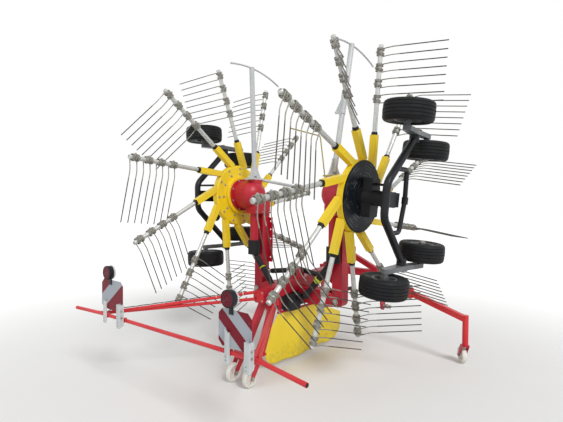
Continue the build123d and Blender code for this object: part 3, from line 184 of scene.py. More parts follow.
class Graph(Steps):
    """One node material, built from small named steps."""

    def __init__(self, name: str, specular: float = 0.5) -> None:
        """Start an empty material with its Principled shader."""
        self.material = bpy.data.materials.new(name)
        super().__init__(self.material)
        self.shader = self.tree.nodes["Principled BSDF"]
        self.shader.inputs["Specular IOR Level"].default_value = specular
        self.place = self.node("ShaderNodeTexCoord").outputs["Object"]

    def mapped(self, centre: Sequence[float], turn: Sequence[float] = (0, 0, 0)) -> Socket:
        """Object coordinates about a centre, turned about x, y and z by radians."""
        shift = self.node("ShaderNodeVectorMath", {0: self.place, 1: tuple(centre)},
                          operation="SUBTRACT")
        mapping = self.node("ShaderNodeMapping", {"Vector": shift.outputs[0], "Rotation": turn})
        return mapping.outputs[0]

    def noise(self, scale: float, detail: float, rough: float = 0.55) -> Socket:
        """A noise value from 0 to 1."""
        inputs = {"Vector": self.place, "Scale": scale, "Detail": detail, "Roughness": rough}
        return self.node("ShaderNodeTexNoise", inputs).outputs["Fac"]

    def step(self, value: object, low: float, high: float) -> Socket:
        """A value that rises from 0 at low to 1 at high."""
        inputs = {"Value": value, "From Min": low, "From Max": high}
        made = self.node("ShaderNodeMapRange", inputs, interpolation_type="SMOOTHSTEP")
        return made.outputs["Result"]

    def blotches(self, scale: float, detail: float, low: float, high: float,
                 rough: float = 0.55) -> Socket:
        """A mask of blotches, from a noise that counts between low and high."""
        return self.step(self.noise(scale, detail, rough), low, high)

    def times(self, first: object, second: object) -> Socket:
        """One value times another."""
        return self.calc("MULTIPLY", first, second)

    def reach(self, first: object, second: object) -> Socket:
        """How far a point of a plane lies from its origin."""
        squares = self.calc("ADD", self.times(first, first), self.times(second, second))
        return self.calc("SQRT", squares)

    def mix(self, share: object, first: object, second: object) -> Socket:
        """A colour between two others."""
        inputs = {"Factor": share, 6: first, 7: second}
        return self.node("ShaderNodeMix", inputs, data_type="RGBA").outputs[2]

    def cover(self, colour: object, mask: Socket, share: float, over: Colour) -> Socket:
        """A colour with a share of another over it where a mask is 1."""
        return self.mix(self.times(mask, share), colour, over)

    def parts(self, vector: object) -> tuple[Socket, ...]:
        """The x, y and z of a vector."""
        return tuple(self.node("ShaderNodeSeparateXYZ", {0: vector}).outputs)

    def bump(self, height: object, distance: float, strength: float) -> None:
        """Let a height in metres shape the shader's normal."""
        inputs = {"Strength": strength, "Distance": distance, "Height": height}
        self.feed(self.shader.inputs["Normal"], self.node("ShaderNodeBump", inputs).outputs[0])

    def finish(self, colour: object, roughness: object, metallic: float = 0.0,
               coat: float = 0.0) -> bpy.types.Material:
        """Set the shader's main inputs and hand over the material."""
        inputs = {"Base Color": colour, "Roughness": roughness, "Metallic": metallic,
                  "Coat Weight": coat, "Coat Roughness": 0.25}
        for key, value in inputs.items():
            self.feed(self.shader.inputs[key], value)
        return self.material


@dataclass(frozen=True)
class Finish:
    """A finish with its name and its slot in the record; each kind makes its own material."""

    name: str
    slot: str

    def build(self) -> bpy.types.Material:
        """Make the material."""
        raise NotImplementedError


@dataclass(frozen=True)
class PaintFinish(Finish):
    """Outdoor paint or plastic: faded patches, dust, chips and a fine orange peel."""

    colour: Colour
    faded: Colour
    dust: Colour = (0.32, 0.27, 0.2)
    dust_share: float = 0.3
    chip: Colour = (0.12, 0.05, 0.03)
    chip_share: float = 0.33
    roughness: float = 0.38
    coat: float = 0.15
    metallic: float = 0.0
    specular: float = 0.3

    def build(self) -> bpy.types.Material:
        """Make the material."""
        graph = Graph(self.name, self.specular)
        colour = graph.mix(graph.blotches(3.5, 4, 0.35, 0.7), self.colour, self.faded)
        dusty = graph.blotches(9.0, 6, 0.62, 0.85, 0.68)
        colour = graph.cover(colour, dusty, self.dust_share, self.dust)
        chips = graph.blotches(46.0, 7, 1 - self.chip_share, 1.04 - self.chip_share, 0.72)
        colour = graph.cover(colour, chips, 0.8, self.chip)
        sheen = graph.noise(14.0, 4)
        roughness = graph.scaled(sheen, self.roughness - 0.1, self.roughness + 0.16)
        graph.bump(graph.noise(260.0, 2), 0.0004, 0.35)
        return graph.finish(self.tinted(graph, colour), roughness, self.metallic, self.coat)

    def tinted(self, graph: Graph, colour: Socket) -> Socket:
        """The colour as it is; a paint of two colours changes it here."""
        return colour


@dataclass(frozen=True)
class TwoColourFinish(PaintFinish):
    """Outdoor paint with a second colour beyond a plane, for a casting that is two colours."""

    second: Colour = (0.01, 0.01, 0.012)
    ahead: Point = (0.0, 1.0, 0.0)
    beyond: float = 0.0

    def tinted(self, graph: Graph, colour: Socket) -> Socket:
        """The colour, with the second one beyond the plane."""
        along = graph.node("ShaderNodeVectorMath", {0: graph.place, 1: self.ahead},
                           operation="DOT_PRODUCT").outputs["Value"]
        return graph.mix(graph.calc("GREATER_THAN", along, self.beyond), colour, self.second)


@dataclass(frozen=True)
class ZincFinish(Finish):
    """Dull galvanised tube with spangle, streaks of rust and handling marks."""

    colour: Colour
    dark: Colour
    rust: Colour = (0.17, 0.1, 0.055)
    rust_share: float = 0.45
    metallic: float = 0.55
    roughness: float = 0.46

    def build(self) -> bpy.types.Material:
        """Make the material."""
        graph = Graph(self.name)
        spangle = graph.node("ShaderNodeTexVoronoi", {"Vector": graph.place, "Scale": 70.0})
        cells = graph.parts(spangle.outputs["Color"])[0]
        colour = graph.mix(graph.scaled(cells, 0.0, 0.5), self.colour, self.dark)
        rusty = graph.blotches(16.0, 6, 0.5, 0.78, 0.7)
        colour = graph.cover(colour, rusty, self.rust_share, self.rust)
        roughness = graph.scaled(cells, self.roughness - 0.08, self.roughness + 0.12)
        graph.bump(graph.noise(90.0, 4), 0.0006, 0.4)
        return graph.finish(colour, roughness, self.metallic)


@dataclass(frozen=True)
class RubberFinish(Finish):
    """Tyre rubber with dried dust in its low places."""

    name: str = "tyre_rubber"
    slot: str = "tyre"
    colour: Colour = (0.009, 0.0095, 0.011)
    dusty: Colour = (0.04, 0.038, 0.034)
    specular: float = 0.18

    def build(self) -> bpy.types.Material:
        """Make the material."""
        graph = Graph(self.name, self.specular)
        dust = graph.blotches(11.0, 6, 0.45, 0.8, 0.7)
        colour = graph.cover(self.colour, dust, 0.6, self.dusty)
        graph.bump(graph.noise(180.0, 3), 0.0008, 0.5)
        return graph.finish(colour, graph.scaled(dust, 0.55, 0.85))


@dataclass(frozen=True)
class CamCoverFinish(Finish):
    """Black cover with rubbed arcs round its middle and a few mud spots."""

    centre: Point
    axis_turn: float
    colour: Colour = (0.006, 0.008, 0.011)
    worn: Colour = (0.17, 0.18, 0.185)
    mud: Colour = (0.3, 0.3, 0.28)
    specular: float = 0.14

    def build(self) -> bpy.types.Material:
        """Make the material."""
        graph = Graph(self.name, self.specular)
        _, across, upward = graph.parts(graph.mapped(self.centre, (0, self.axis_turn, 0)))
        wobble = graph.times(graph.noise(3.0, 2), 0.03)
        reach = graph.calc("ADD", graph.reach(across, upward), wobble)
        rings = graph.node("ShaderNodeTexNoise", {"W": reach, "Scale": 70.0, "Detail": 5.0},
                           noise_dimensions="1D")
        ring = graph.step(rings.outputs["Fac"], 0.53, 0.62)
        rubbed = graph.times(ring, graph.blotches(7.0, 4, 0.47, 0.6))
        colour = graph.cover(self.colour, rubbed, 0.75, self.worn)
        colour = graph.cover(colour, graph.blotches(34.0, 5, 0.62, 0.7, 0.66), 0.75, self.mud)
        graph.bump(graph.noise(120.0, 3), 0.0006, 0.4)
        return graph.finish(colour, graph.scaled(rubbed, 0.38, 0.6))


@dataclass(frozen=True)
class StripeFinish(Finish):
    """Red warning boards with white bands that fall outward; pairs are for left and right."""

    name: str = "board_stripes"
    slot: str = "white_paint"
    red: Colour = (0.17, 0.006, 0.016)
    white: Colour = (0.34, 0.37, 0.41)
    grime: Colour = (0.2, 0.17, 0.13)
    slope: float = 0.78
    start: tuple[float, float] = (1.348, 1.431)
    period: tuple[float, float] = (0.30, 0.20)
    share: tuple[float, float] = (0.467, 0.525)
    top: float = 1.62
    specular: float = 0.2

    def build(self) -> bpy.types.Material:
        """Make the material."""
        graph = Graph(self.name, self.specular)
        calc = graph.calc
        x, _, z = graph.parts(graph.mapped(at(0, 0, 0)))
        on_right = calc("GREATER_THAN", x, 0.0)
        pairs = (self.start, self.period, self.share)
        start, period, share = (graph.scaled(on_right, *pair) for pair in pairs)
        rise = calc("ADD", z, graph.times(calc("ABSOLUTE", x), self.slope))
        phase = calc("FRACT", calc("DIVIDE", calc("SUBTRACT", rise, start), period))
        band = graph.times(calc("LESS_THAN", phase, share), calc("LESS_THAN", rise, self.top))
        foil = graph.node("ShaderNodeTexVoronoi", {"Vector": graph.place, "Scale": 330.0})
        grime = graph.blotches(13.0, 5, 0.55, 0.85, 0.7)
        colour = graph.cover(graph.mix(band, self.red, self.white), grime, 0.35, self.grime)
        graph.bump(graph.scaled(foil.outputs["Distance"], 0.85, 1.0), 0.0003, 0.3)
        return graph.finish(colour, graph.scaled(grime, 0.4, 0.65))


@dataclass(frozen=True)
class FloorFinish(Finish):
    """Pale floor that keeps the rake's shadow and fades to the white backdrop further out."""

    name: str = "studio_floor"
    slot: str = "white_paint"
    colour: Colour = (0.82, 0.82, 0.81)
    worn: Colour = (0.779, 0.779, 0.7695)
    near: float = 2.2
    far: float = 6.0

    def build(self) -> bpy.types.Material:
        """Make the material."""
        graph = Graph(self.name)
        x, y, _ = graph.parts(graph.place)
        fade = graph.step(graph.reach(x, y), self.near, self.far)
        share = graph.times(fade, graph.seen())
        graph.feed(graph.shader.inputs["Emission Color"], (1, 1, 1))
        graph.feed(graph.shader.inputs["Emission Strength"], share)
        plain = graph.cover(self.colour, graph.blotches(2.0, 3, 0.3, 0.7), 0.2, self.worn)
        return graph.finish(graph.mix(share, plain, (0.0, 0.0, 0.0)), 0.8)


@dataclass(frozen=True)
class CurtainFinish(Finish):
    """Coated yellow curtain fabric: fine weave, dull patches and grass stains low down."""

    name: str = "curtain_fabric"
    slot: str = "yellow_sheet"
    colour: Colour = (0.87, 0.66, 0.012)
    stained: Colour = (0.62, 0.47, 0.04)
    grass: Colour = (0.3, 0.27, 0.1)

    def build(self) -> bpy.types.Material:
        """Make the material."""
        graph = Graph(self.name)
        stains = graph.blotches(6.0, 6, 0.5, 0.8, 0.7)
        low = graph.step(graph.parts(graph.place)[2], 0.3, 0.03)
        grassy = graph.times(low, graph.blotches(25.0, 6, 0.42, 0.7))
        colour = graph.cover(self.colour, stains, 0.6, self.stained)
        colour = graph.cover(colour, grassy, 0.5, self.grass)
        weave = graph.node("ShaderNodeTexWave", {"Vector": graph.place, "Scale": 260.0},
                           wave_type="BANDS", bands_direction="DIAGONAL")
        graph.bump(weave.outputs["Fac"], 0.0003, 0.3)
        return graph.finish(colour, graph.scaled(stains, 0.42, 0.6), coat=0.1)


RED = PaintFinish("red_paint", "red_paint", (0.42, 0.007, 0.022), (0.5, 0.02, 0.038))
BRIGHT_RED = PaintFinish("bright_red_paint", "red_paint", (0.56, 0.016, 0.024),
                         (0.62, 0.036, 0.04))
YELLOW = PaintFinish("yellow_paint", "yellow_paint", (0.84, 0.6, 0.012), (0.76, 0.55, 0.03),
                     dust=(0.38, 0.31, 0.14), dust_share=0.5, chip_share=0.34)
BLACK = PaintFinish("black_paint", "black_paint", (0.009, 0.01, 0.013), (0.018, 0.019, 0.023),
                    dust=(0.12, 0.11, 0.095), dust_share=0.25, chip=(0.14, 0.13, 0.12),
                    coat=0.05, specular=0.2)
DARK_GREY = PaintFinish("dark_grey_paint", "grey_paint", (0.1, 0.108, 0.118),
                        (0.145, 0.152, 0.158), dust_share=0.4)
POST_GREY = PaintFinish("post_grey_paint", "grey_paint", (0.46, 0.48, 0.49), (0.54, 0.55, 0.55),
                        chip=(0.25, 0.2, 0.16), dust_share=0.25, coat=0.1)
LEG_WHITE = PaintFinish("leg_white", "white_paint", (0.46, 0.49, 0.5), (0.56, 0.58, 0.58),
                        chip=(0.2, 0.19, 0.17), dust_share=0.5, chip_share=0.36, coat=0.1)
NYLON = PaintFinish("white_nylon", "white_nylon", (0.74, 0.73, 0.68), (0.62, 0.6, 0.54),
                    chip=(0.25, 0.22, 0.18), dust_share=0.7, chip_share=0.38, coat=0.0,
                    roughness=0.5)
CASTING = PaintFinish("black_casting", "black_casting", (0.012, 0.013, 0.016),
                      (0.026, 0.027, 0.03), dust=(0.14, 0.125, 0.1), dust_share=0.35,
                      roughness=0.5, coat=0.0, specular=0.2)
GUARD = PaintFinish("black_guard", "black_guard", (0.011, 0.011, 0.013), (0.02, 0.021, 0.023),
                    dust=(0.12, 0.11, 0.09), dust_share=0.3, chip=(0.08, 0.075, 0.07),
                    roughness=0.5, coat=0.0, specular=0.2)
LIME = PaintFinish("lime_ring", "yellow_paint", (0.5, 0.56, 0.02), (0.42, 0.5, 0.04),
                   roughness=0.5, coat=0.0)
CHROME = PaintFinish("rod_chrome", "rod_chrome", (0.72, 0.72, 0.72), (0.6, 0.6, 0.6),
                     metallic=1.0, roughness=0.24, chip_share=0.2, dust_share=0.2, coat=0.0)
LENS = PaintFinish("red_lens", "red_lens", (0.1, 0.003, 0.012), (0.14, 0.006, 0.018),
                   roughness=0.3, coat=0.12, specular=0.2, chip_share=0.1, dust_share=0.25)
ZINC = ZincFinish("zinc_tube", "galvanised", (0.6, 0.62, 0.6), (0.45, 0.46, 0.44))
# Lighter steel of the coils, also laid on each tine's root past its knee as a painted highlight on
# the one wire
COIL = ZincFinish("coil_steel", "galvanised", (0.3, 0.295, 0.25), (0.15, 0.14, 0.115),
                  rust_share=0.6, metallic=0.3)
TINE = ZincFinish("tine_steel", "galvanised", (0.06, 0.055, 0.048), (0.035, 0.03, 0.026),
                  rust_share=0.3, metallic=0.25, roughness=0.42)
BOLT = ZincFinish("bolt_steel", "galvanised", (0.42, 0.42, 0.4), (0.3, 0.3, 0.28), metallic=0.7)
RIM = ZincFinish("rim_steel", "galvanised", (0.11, 0.115, 0.12), (0.07, 0.075, 0.08),
                 metallic=0.2, rust_share=0.3)


# Meshes


def put(name: str, data: bpy.types.ID) -> bpy.types.Object:
    """Put an object with a mesh, lamp or camera in the scene."""
    made = bpy.data.objects.new(name, data)
    bpy.context.scene.collection.objects.link(made)
    return made


def new_mesh(name: str, shape: Shape, smooth: float | None = 35.0) -> bpy.types.Mesh:
    """Turn a bmesh into a mesh with outward normals.

    Args:
        name: Name of the mesh.
        shape: The bmesh, which is freed.
        smooth: Largest angle in degrees that is shaded smooth, or None for flat faces.

    Returns:
        The mesh.
    """
    bmesh.ops.recalc_face_normals(shape, faces=shape.faces)
    if smooth is not None:
        limit = math.radians(smooth)
        for face in shape.faces:
            face.smooth = True
        for edge in shape.edges:
            if len(edge.link_faces) == 2 and edge.calc_face_angle(0.0) > limit:
                edge.smooth = False
    mesh = bpy.data.meshes.new(name)
    shape.to_mesh(mesh)
    shape.free()
    return mesh


def skin(shape: Shape, first: Sequence[object], second: Sequence[object]) -> None:
    """Join two equal loops of vertices by a band of faces."""
    for step, (near, away) in enumerate(zip(first, second)):
        after = (step + 1) % len(first)
        shape.faces.new((near, first[after], second[after], away))


def lathe(shape: Shape, profile: Section, place: Matrix, segments: int = 32) -> None:
    """Turn a profile about the place's x axis into a closed skin.

    Args:
        shape: Bmesh that gets the faces.
        profile: Points (distance along x, radius). A radius of 0 closes the end.
        place: Where the piece's own frame lies.
        segments: Steps round the axis.
    """
    rings = []
    for along, radius in profile:
        turns = [circle(360 * step / segments) for step in range(segments if radius else 1)]
        rings.append([shape.verts.new(place @ Vector((along, radius * cosine, radius * sine)))
                      for cosine, sine in turns])
    closed = len(rings[0]) > 1 and len(rings[-1]) > 1
    for first, second in zip(rings, rings[1:] + rings[:1] * closed):
        for step in range(segments):
            after = (step + 1) % segments
            corners = dict.fromkeys((first[step % len(first)], first[after % len(first)],
                                     second[after % len(second)], second[step % len(second)]))
            if len(corners) > 2:
                shape.faces.new(tuple(corners))


def tube(shape: Shape, line: Sequence[Vector], radius: float, sides: int = 6) -> None:
    """Lay a closed round wire along a line of points.

    Args:
        shape: Bmesh that gets the faces.
        line: Centre line.
        radius: Radius of the wire.
        sides: Faces round the wire.
    """
    side = (line[1] - line[0]).orthogonal().normalized()
    rings = []
    for index, point in enumerate(line):
        ahead = line[min(index + 1, len(line) - 1)] - line[max(index - 1, 0)]
        ahead.normalize()
        side = (side - ahead * side.dot(ahead)).normalized()
        other = ahead.cross(side)
        turns = [circle(360 * step / sides) for step in range(sides)]
        rings.append([shape.verts.new(point + (side * cosine + other * sine) * radius)
                      for cosine, sine in turns])
    for first, second in zip(rings, rings[1:]):
        skin(shape, first, second)
    shape.faces.new(rings[0])
    shape.faces.new(rings[-1])


def block(shape: Shape, low: Sequence[float], high: Sequence[float], place: Matrix,
          bevel: float = 0.0) -> None:
    """Add a box between two corners, with rounded edges.

    Args:
        shape: Bmesh that gets the faces.
        low: Lowest corner in the place's own frame.
        high: Highest corner.
        place: Where the box's own frame lies.
        bevel: Width of the rounded edges.
    """
    own = bmesh.new()
    bmesh.ops.create_cube(own, size=1.0)
    middle, size = (Vector(low) + Vector(high)) / 2, Vector(high) - Vector(low)
    for vert in own.verts:
        vert.co = middle + vert.co * size
    if bevel:
        bmesh.ops.bevel(own, geom=own.edges[:], offset=bevel, segments=2, affect="EDGES",
                        profile=0.5)
    own.transform(place)
    mesh = bpy.data.meshes.new("part")
    own.to_mesh(mesh)
    own.free()
    shape.from_mesh(mesh)
    bpy.data.meshes.remove(mesh)


def bent(points: Sequence[Vector], radius: float, steps: int = 6) -> list[Vector]:
    """A line of points with its inner corners rounded.

    Args:
        points: Corners of the line.
        radius: How far from each corner its bend starts.
        steps: Steps along each bend.

    Returns:
        Points of the rounded line.
    """
    line = [points[0]]
    for before, corner, after in zip(points, points[1:], points[2:]):
        start = corner + (before - corner).normalized() * radius
        end = corner + (after - corner).normalized() * radius
        for step in range(steps + 1):
            share = step / steps
            line.append(start.lerp(corner, share).lerp(corner.lerp(end, share), share))
    return line + [points[-1]]


class Workshop:
    """Makes each finish once, dresses pieces with it and sets models that repeat."""

    def __init__(self) -> None:
        """Start with an empty shelf of materials and the tree that sets copies."""
        self.made: dict[str, bpy.types.Material] = {}
        self.tree = self.repeat_tree()
        self.sockets = {item.name: item.identifier for item in self.tree.interface.items_tree}

    def material(self, finish: Finish) -> bpy.types.Material:
        """The material of a finish, made on its first use."""
        if finish.name not in self.made:
            self.made[finish.name] = finish.build()
        return self.made[finish.name]

    def add(self, name: str, shape: Shape | bpy.types.Mesh, finish: Finish, body: str = "frame",
            replaces: Iterable[str] = (), smooth: float | None = 35.0) -> bpy.types.Object:
        """Put a shape in the scene as a finished piece.

        Args:
            name: Name of the piece.
            shape: Its bmesh or mesh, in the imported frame.
            finish: Its finish.
            body: CAD body that it rides on.
            replaces: CAD nodes that it stands for.
            smooth: Largest angle of a bmesh that is shaded smooth, or None.

        Returns:
            The object.
        """
        ready = isinstance(shape, bpy.types.Mesh)
        mesh = shape if ready else new_mesh(name, shape, smooth)
        piece = put(name, mesh)
        if not mesh.materials:
            mesh.materials.append(self.material(finish))
        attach(piece, body)
        if replaces:
            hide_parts(*replaces)
        LOG.info("%s rides on %s, %d faces", name, body, len(mesh.polygons))
        return piece

    def dress(self, node: bpy.types.Object, finish: Finish) -> None:
        """Give a CAD node its finish."""
        node.data.materials.clear()
        node.data.materials.append(self.material(finish))

    def repeat_tree(self) -> bpy.types.NodeTree:
        """Geometry Nodes that set a model on each point, turned by the point's own attribute."""
        tree = bpy.data.node_groups.new("set_on_points", "GeometryNodeTree")
        for name, kind in (("Points", "Geometry"), ("Model", "Object"), ("Finish", "Material")):
            tree.interface.new_socket(name, in_out="INPUT", socket_type=f"NodeSocket{kind}")
        tree.interface.new_socket("Result", in_out="OUTPUT", socket_type="NodeSocketGeometry")
        kinds = ("NodeGroupInput", "NodeGroupOutput", "GeometryNodeObjectInfo",
                 "GeometryNodeMeshToPoints", "GeometryNodeInputNamedAttribute",
                 "FunctionNodeEulerToRotation", "GeometryNodeInstanceOnPoints",
                 "GeometryNodeRealizeInstances", "GeometryNodeSetMaterial")
        source, result, model, points, turn, rotation, place, real, finish = (
            tree.nodes.new(kind) for kind in kinds)
        turn.data_type = "FLOAT_VECTOR"
        turn.inputs["Name"].default_value = "turn"
        for first, output, second, entry in (
            (source, "Points", points, "Mesh"), (source, "Model", model, "Object"),
            (turn, "Attribute", rotation, 0), (points, "Points", place, "Points"),
            (model, "Geometry", place, "Instance"), (rotation, 0, place, "Rotation"),
            (place, "Instances", real, "Geometry"), (real, "Geometry", finish, "Geometry"),
            (source, "Finish", finish, "Material"), (finish, "Geometry", result, "Result"),
        ):
            tree.links.new(first.outputs[output], second.inputs[entry])
        return tree

    def repeat(self, name: str, shape: Shape, places: Sequence[Matrix], finish: Finish,
               body: str = "frame", smooth: float = 35.0) -> None:
        """Set one model at many places, as a piece with one plain mesh.

        Args:
            name: Name of the piece.
            shape: The model that is repeated.
            places: Where each copy's own frame lies.
            finish: Finish of the copies.
            body: CAD body that they ride on.
            smooth: Largest angle that is shaded smooth.
        """
        points = bpy.data.meshes.new(name + "_points")
        points.from_pydata([place.translation for place in places], [], [])
        turns = points.attributes.new("turn", "FLOAT_VECTOR", "POINT")
        for index, place in enumerate(places):
            turns.data[index].vector = place.to_euler("XYZ")
        holder = put(name + "_points", points)
        sample = put(name + "_model", new_mesh(name + "_model", shape, smooth))
        modifier = holder.modifiers.new("set", "NODES")
        modifier.node_group = self.tree
        modifier[self.sockets["Model"]] = sample
        modifier[self.sockets["Finish"]] = self.material(finish)
        bpy.context.view_layer.update()
        depsgraph = bpy.context.evaluated_depsgraph_get()
        evaluated = holder.evaluated_get(depsgraph)
        mesh = bpy.data.meshes.new_from_object(evaluated, depsgraph=depsgraph)
        mesh.name = name
        for made in (holder, sample):
            bpy.data.objects.remove(made)
        self.add(name, mesh, finish, body)


# The rotor's own frame


@dataclass(frozen=True)
class Rotor:
    """Where one folded rotor stands, and how its arms are spread."""

    side: Side
    lean: float
    phase: float
    outer_rock: float
    inner_rock: float
    hinge_x: float = 0.5
    hub_x: float = 0.510
    hub_z: float = 1.686
    arm_count: int = 11
    arm_offset: float = 0.200
    arm_depth: float = 0.250
    tip_radius: float = 1.350
    # Places round the rotor and the turn that the cam gives the tines there, in degrees
    lift: tuple[tuple[float, float], ...] = (
        (0, 0), (150, 0), (190, -75), (215, -82), (290, -82), (335, -55), (352, 0), (360, 0),
    )

    @property
    def sign(self) -> int:
        """The sign of x on this side."""
        return self.side.value

    @property
    def body(self) -> str:
        """The CAD body of the turning rotor."""
        return f"{self.side.word}_rotor"

    @property
    def arm_body(self) -> str:
        """The CAD body of the folding arm."""
        return f"{self.side.word}_arm"

    def outward(self) -> Vector:
        """Unit vector along the rotor axis, away from the gearbox."""
        cosine, sine = circle(self.lean)
        return Vector((self.sign * cosine, 0, -sine))

    def frame(self) -> Matrix:
        """The rotor's own frame: x up, y forward on the right side, z against the wheels."""
        cosine, sine = circle(self.lean)
        up = Vector((self.sign * sine, 0, cosine))
        hub = at(self.sign * self.hub_x, 0, self.hub_z)
        return framed(up, Vector((0, self.sign, 0)), -self.outward(), hub)

    def tine_turn(self, angle: float) -> float:
        """The turn that the cam gives the tines of an arm at an angle, in degrees."""
        place = (angle + math.degrees(math.asin(self.arm_offset / self.tip_radius))) % 360
        for (start, low), (end, high) in zip(self.lift, self.lift[1:]):
            if start <= place <= end:
                return low + (high - low) * (place - start) / (end - start)
        return 0.0

    def arm_frames(self) -> list[Matrix]:
        """The frame of each arm: x along the arm, its tines along minus z."""
        shift = moved(0, self.sign * self.arm_offset, -self.arm_depth)
        angles = [self.phase + 360 / self.arm_count * step for step in range(self.arm_count)]
        return [self.frame() @ turned("Z", self.sign * angle) @ shift
                @ turned("X", self.sign * self.tine_turn(angle)) for angle in angles]

    def along_arm(self, radius: float) -> float:
        """How far along its own line an offset arm reaches a radius of the rotor."""
        return math.sqrt(radius ** 2 - self.arm_offset ** 2)


ROTORS = (
    Rotor(Side.RIGHT, 5.44, -35.33, 6.6, -5.3),
    Rotor(Side.LEFT, 1.73, -85.10, 0.0, 0.0),
)


@dataclass
class TineArms:
    """The arm tubes of one rotor with their collars, coils and sprung tines."""

    rotor: Rotor
    workshop: Workshop
    holder_radius: float = 0.585
    tube_radius: float = 0.0210
    collar_radius: float = 0.0285
    wire_radius: float = 0.0046
    coil_radius: float = 0.0305
    coil_turns: float = 2.5
    coil_start: float = 0.007
    coil_count: int = 4
    coil_pitch: float = 0.135
    last_coil_from_tip: float = 0.062
    # How far past the knee a tine keeps the lighter coil steel, a painted highlight on its root
    bright_length: float = 0.070
    tine_spread: float = 0.068
    root_length: float = 0.120
    coil_run_out: float = 0.020
    # Points of the bend at a tine's knee, along its root and along the rest
    knee: Section = ((-0.025, 0.0), (-0.008, 0.004), (0.0, 0.018))
    tine_length: float = 0.590
    root_turn: float = -16.0
    tine_turn: float = 4.0

    def build(self) -> None:
        """Make all pieces of the arms."""
        rotor, word = self.rotor, self.rotor.side.word
        tip, root = rotor.along_arm(rotor.tip_radius), rotor.along_arm(self.holder_radius)
        r, c = self.tube_radius, self.collar_radius
        tubes, collars, places = bmesh.new(), bmesh.new(), []
        for frame in rotor.arm_frames():
            lathe(tubes, [(root - 0.02, 0), (root - 0.02, r), (tip - 0.004, r), (tip, r - 0.004),
                          (tip, r - 0.006), (tip - 0.006, r - 0.006), (tip - 0.006, 0)], frame, 18)
            lathe(collars, [(root - 0.002, 0), (root - 0.002, c), (root + 0.020, c),
                            (root + 0.025, c - 0.003), (root + 0.028, r + 0.0015),
                            (root + 0.028, 0)], frame, 18)
            places += [frame @ moved(tip - self.last_coil_from_tip - self.coil_pitch * step)
                       for step in range(self.coil_count)]
        self.workshop.add(f"{word}_arm_tubes", tubes, ZINC, rotor.body, [f"{word}_tine_arms"])
        self.workshop.add(f"{word}_arm_collars", collars, BLACK, rotor.body)
        # The coils piece also carries each tine's root as a painted highlight in the lighter coil
        # steel; the tines piece is the darker rest
        for part, finish in (("coils", COIL), ("tines", TINE)):
            pair = bmesh.new()
            for mirror in (-1, 1):
                tube(pair, self.tine_line(mirror, part == "coils"), self.wire_radius)
            self.workshop.repeat(f"{word}_{part}", pair, places, finish, rotor.body, 60)
        self.workshop.repeat(f"{word}_coil_clamps", self.clamp(), places, BOLT, rotor.body)

    def slope(self, degrees: float) -> Vector:
        """Unit vector down the tine, turned from the arm's own minus z."""
        cosine, sine = circle(degrees)
        return Vector((0, self.rotor.sign * sine, -cosine))

    def tine_line(self, mirror: int, wound: bool) -> list[Vector]:
        """Centre line of one tine: coil, root and knee with a painted highlight, or the darker
        rest.

        Args:
            mirror: 1 for the tine nearer the tip, -1 for its twin.
            wound: Whether the coil and knee with the painted highlight are asked for, or else the
                rest.

        Returns:
            Points of the line.
        """
        hand, reach, r = self.rotor.sign, self.tine_spread / 2, self.coil_radius
        root, rest = self.slope(self.root_turn), self.slope(self.tine_turn)
        start = Vector((mirror * reach, hand * r, 0))
        knee = start + root * self.root_length
        if not wound:
            length = self.tine_length - self.root_length
            return [knee + rest * far for far in (self.bright_length, length * 0.5, length)]
        line, steps = [], int(self.coil_turns * 12)
        for step in range(steps + 1):
            share = step / steps
            cosine, sine = circle(360 * self.coil_turns * (1 - share))
            x = self.coil_start + (reach - self.coil_start) * share
            line.append(Vector((mirror * x, hand * r * cosine, r * sine)))
        line += [start + root * self.coil_run_out]
        line += [knee + root * before + rest * after for before, after in self.knee]
        return line + [knee + rest * self.bright_length]

    def clamp(self) -> Shape:
        """The clip, band and bolts that hold a coil pair on the tube."""
        shape = bmesh.new()
        block(shape, (-0.011, -0.012, 0.019), (0.011, 0.012, 0.037), OWN, 0.003)
        lathe(shape, [(0.037, 0), (0.037, 0.0085), (0.044, 0.0085), (0.044, 0)],
              turned("Y", -90), 6)
        lathe(shape, [(-0.006, 0.0215), (-0.006, 0.0245), (0.006, 0.0245), (0.006, 0.0215)],
              OWN, 14)
        lathe(shape, [(0.020, 0), (0.020, 0.006), (0.030, 0.006), (0.030, 0)],
              turned("Z", 90 * self.rotor.sign), 6)
        return shape


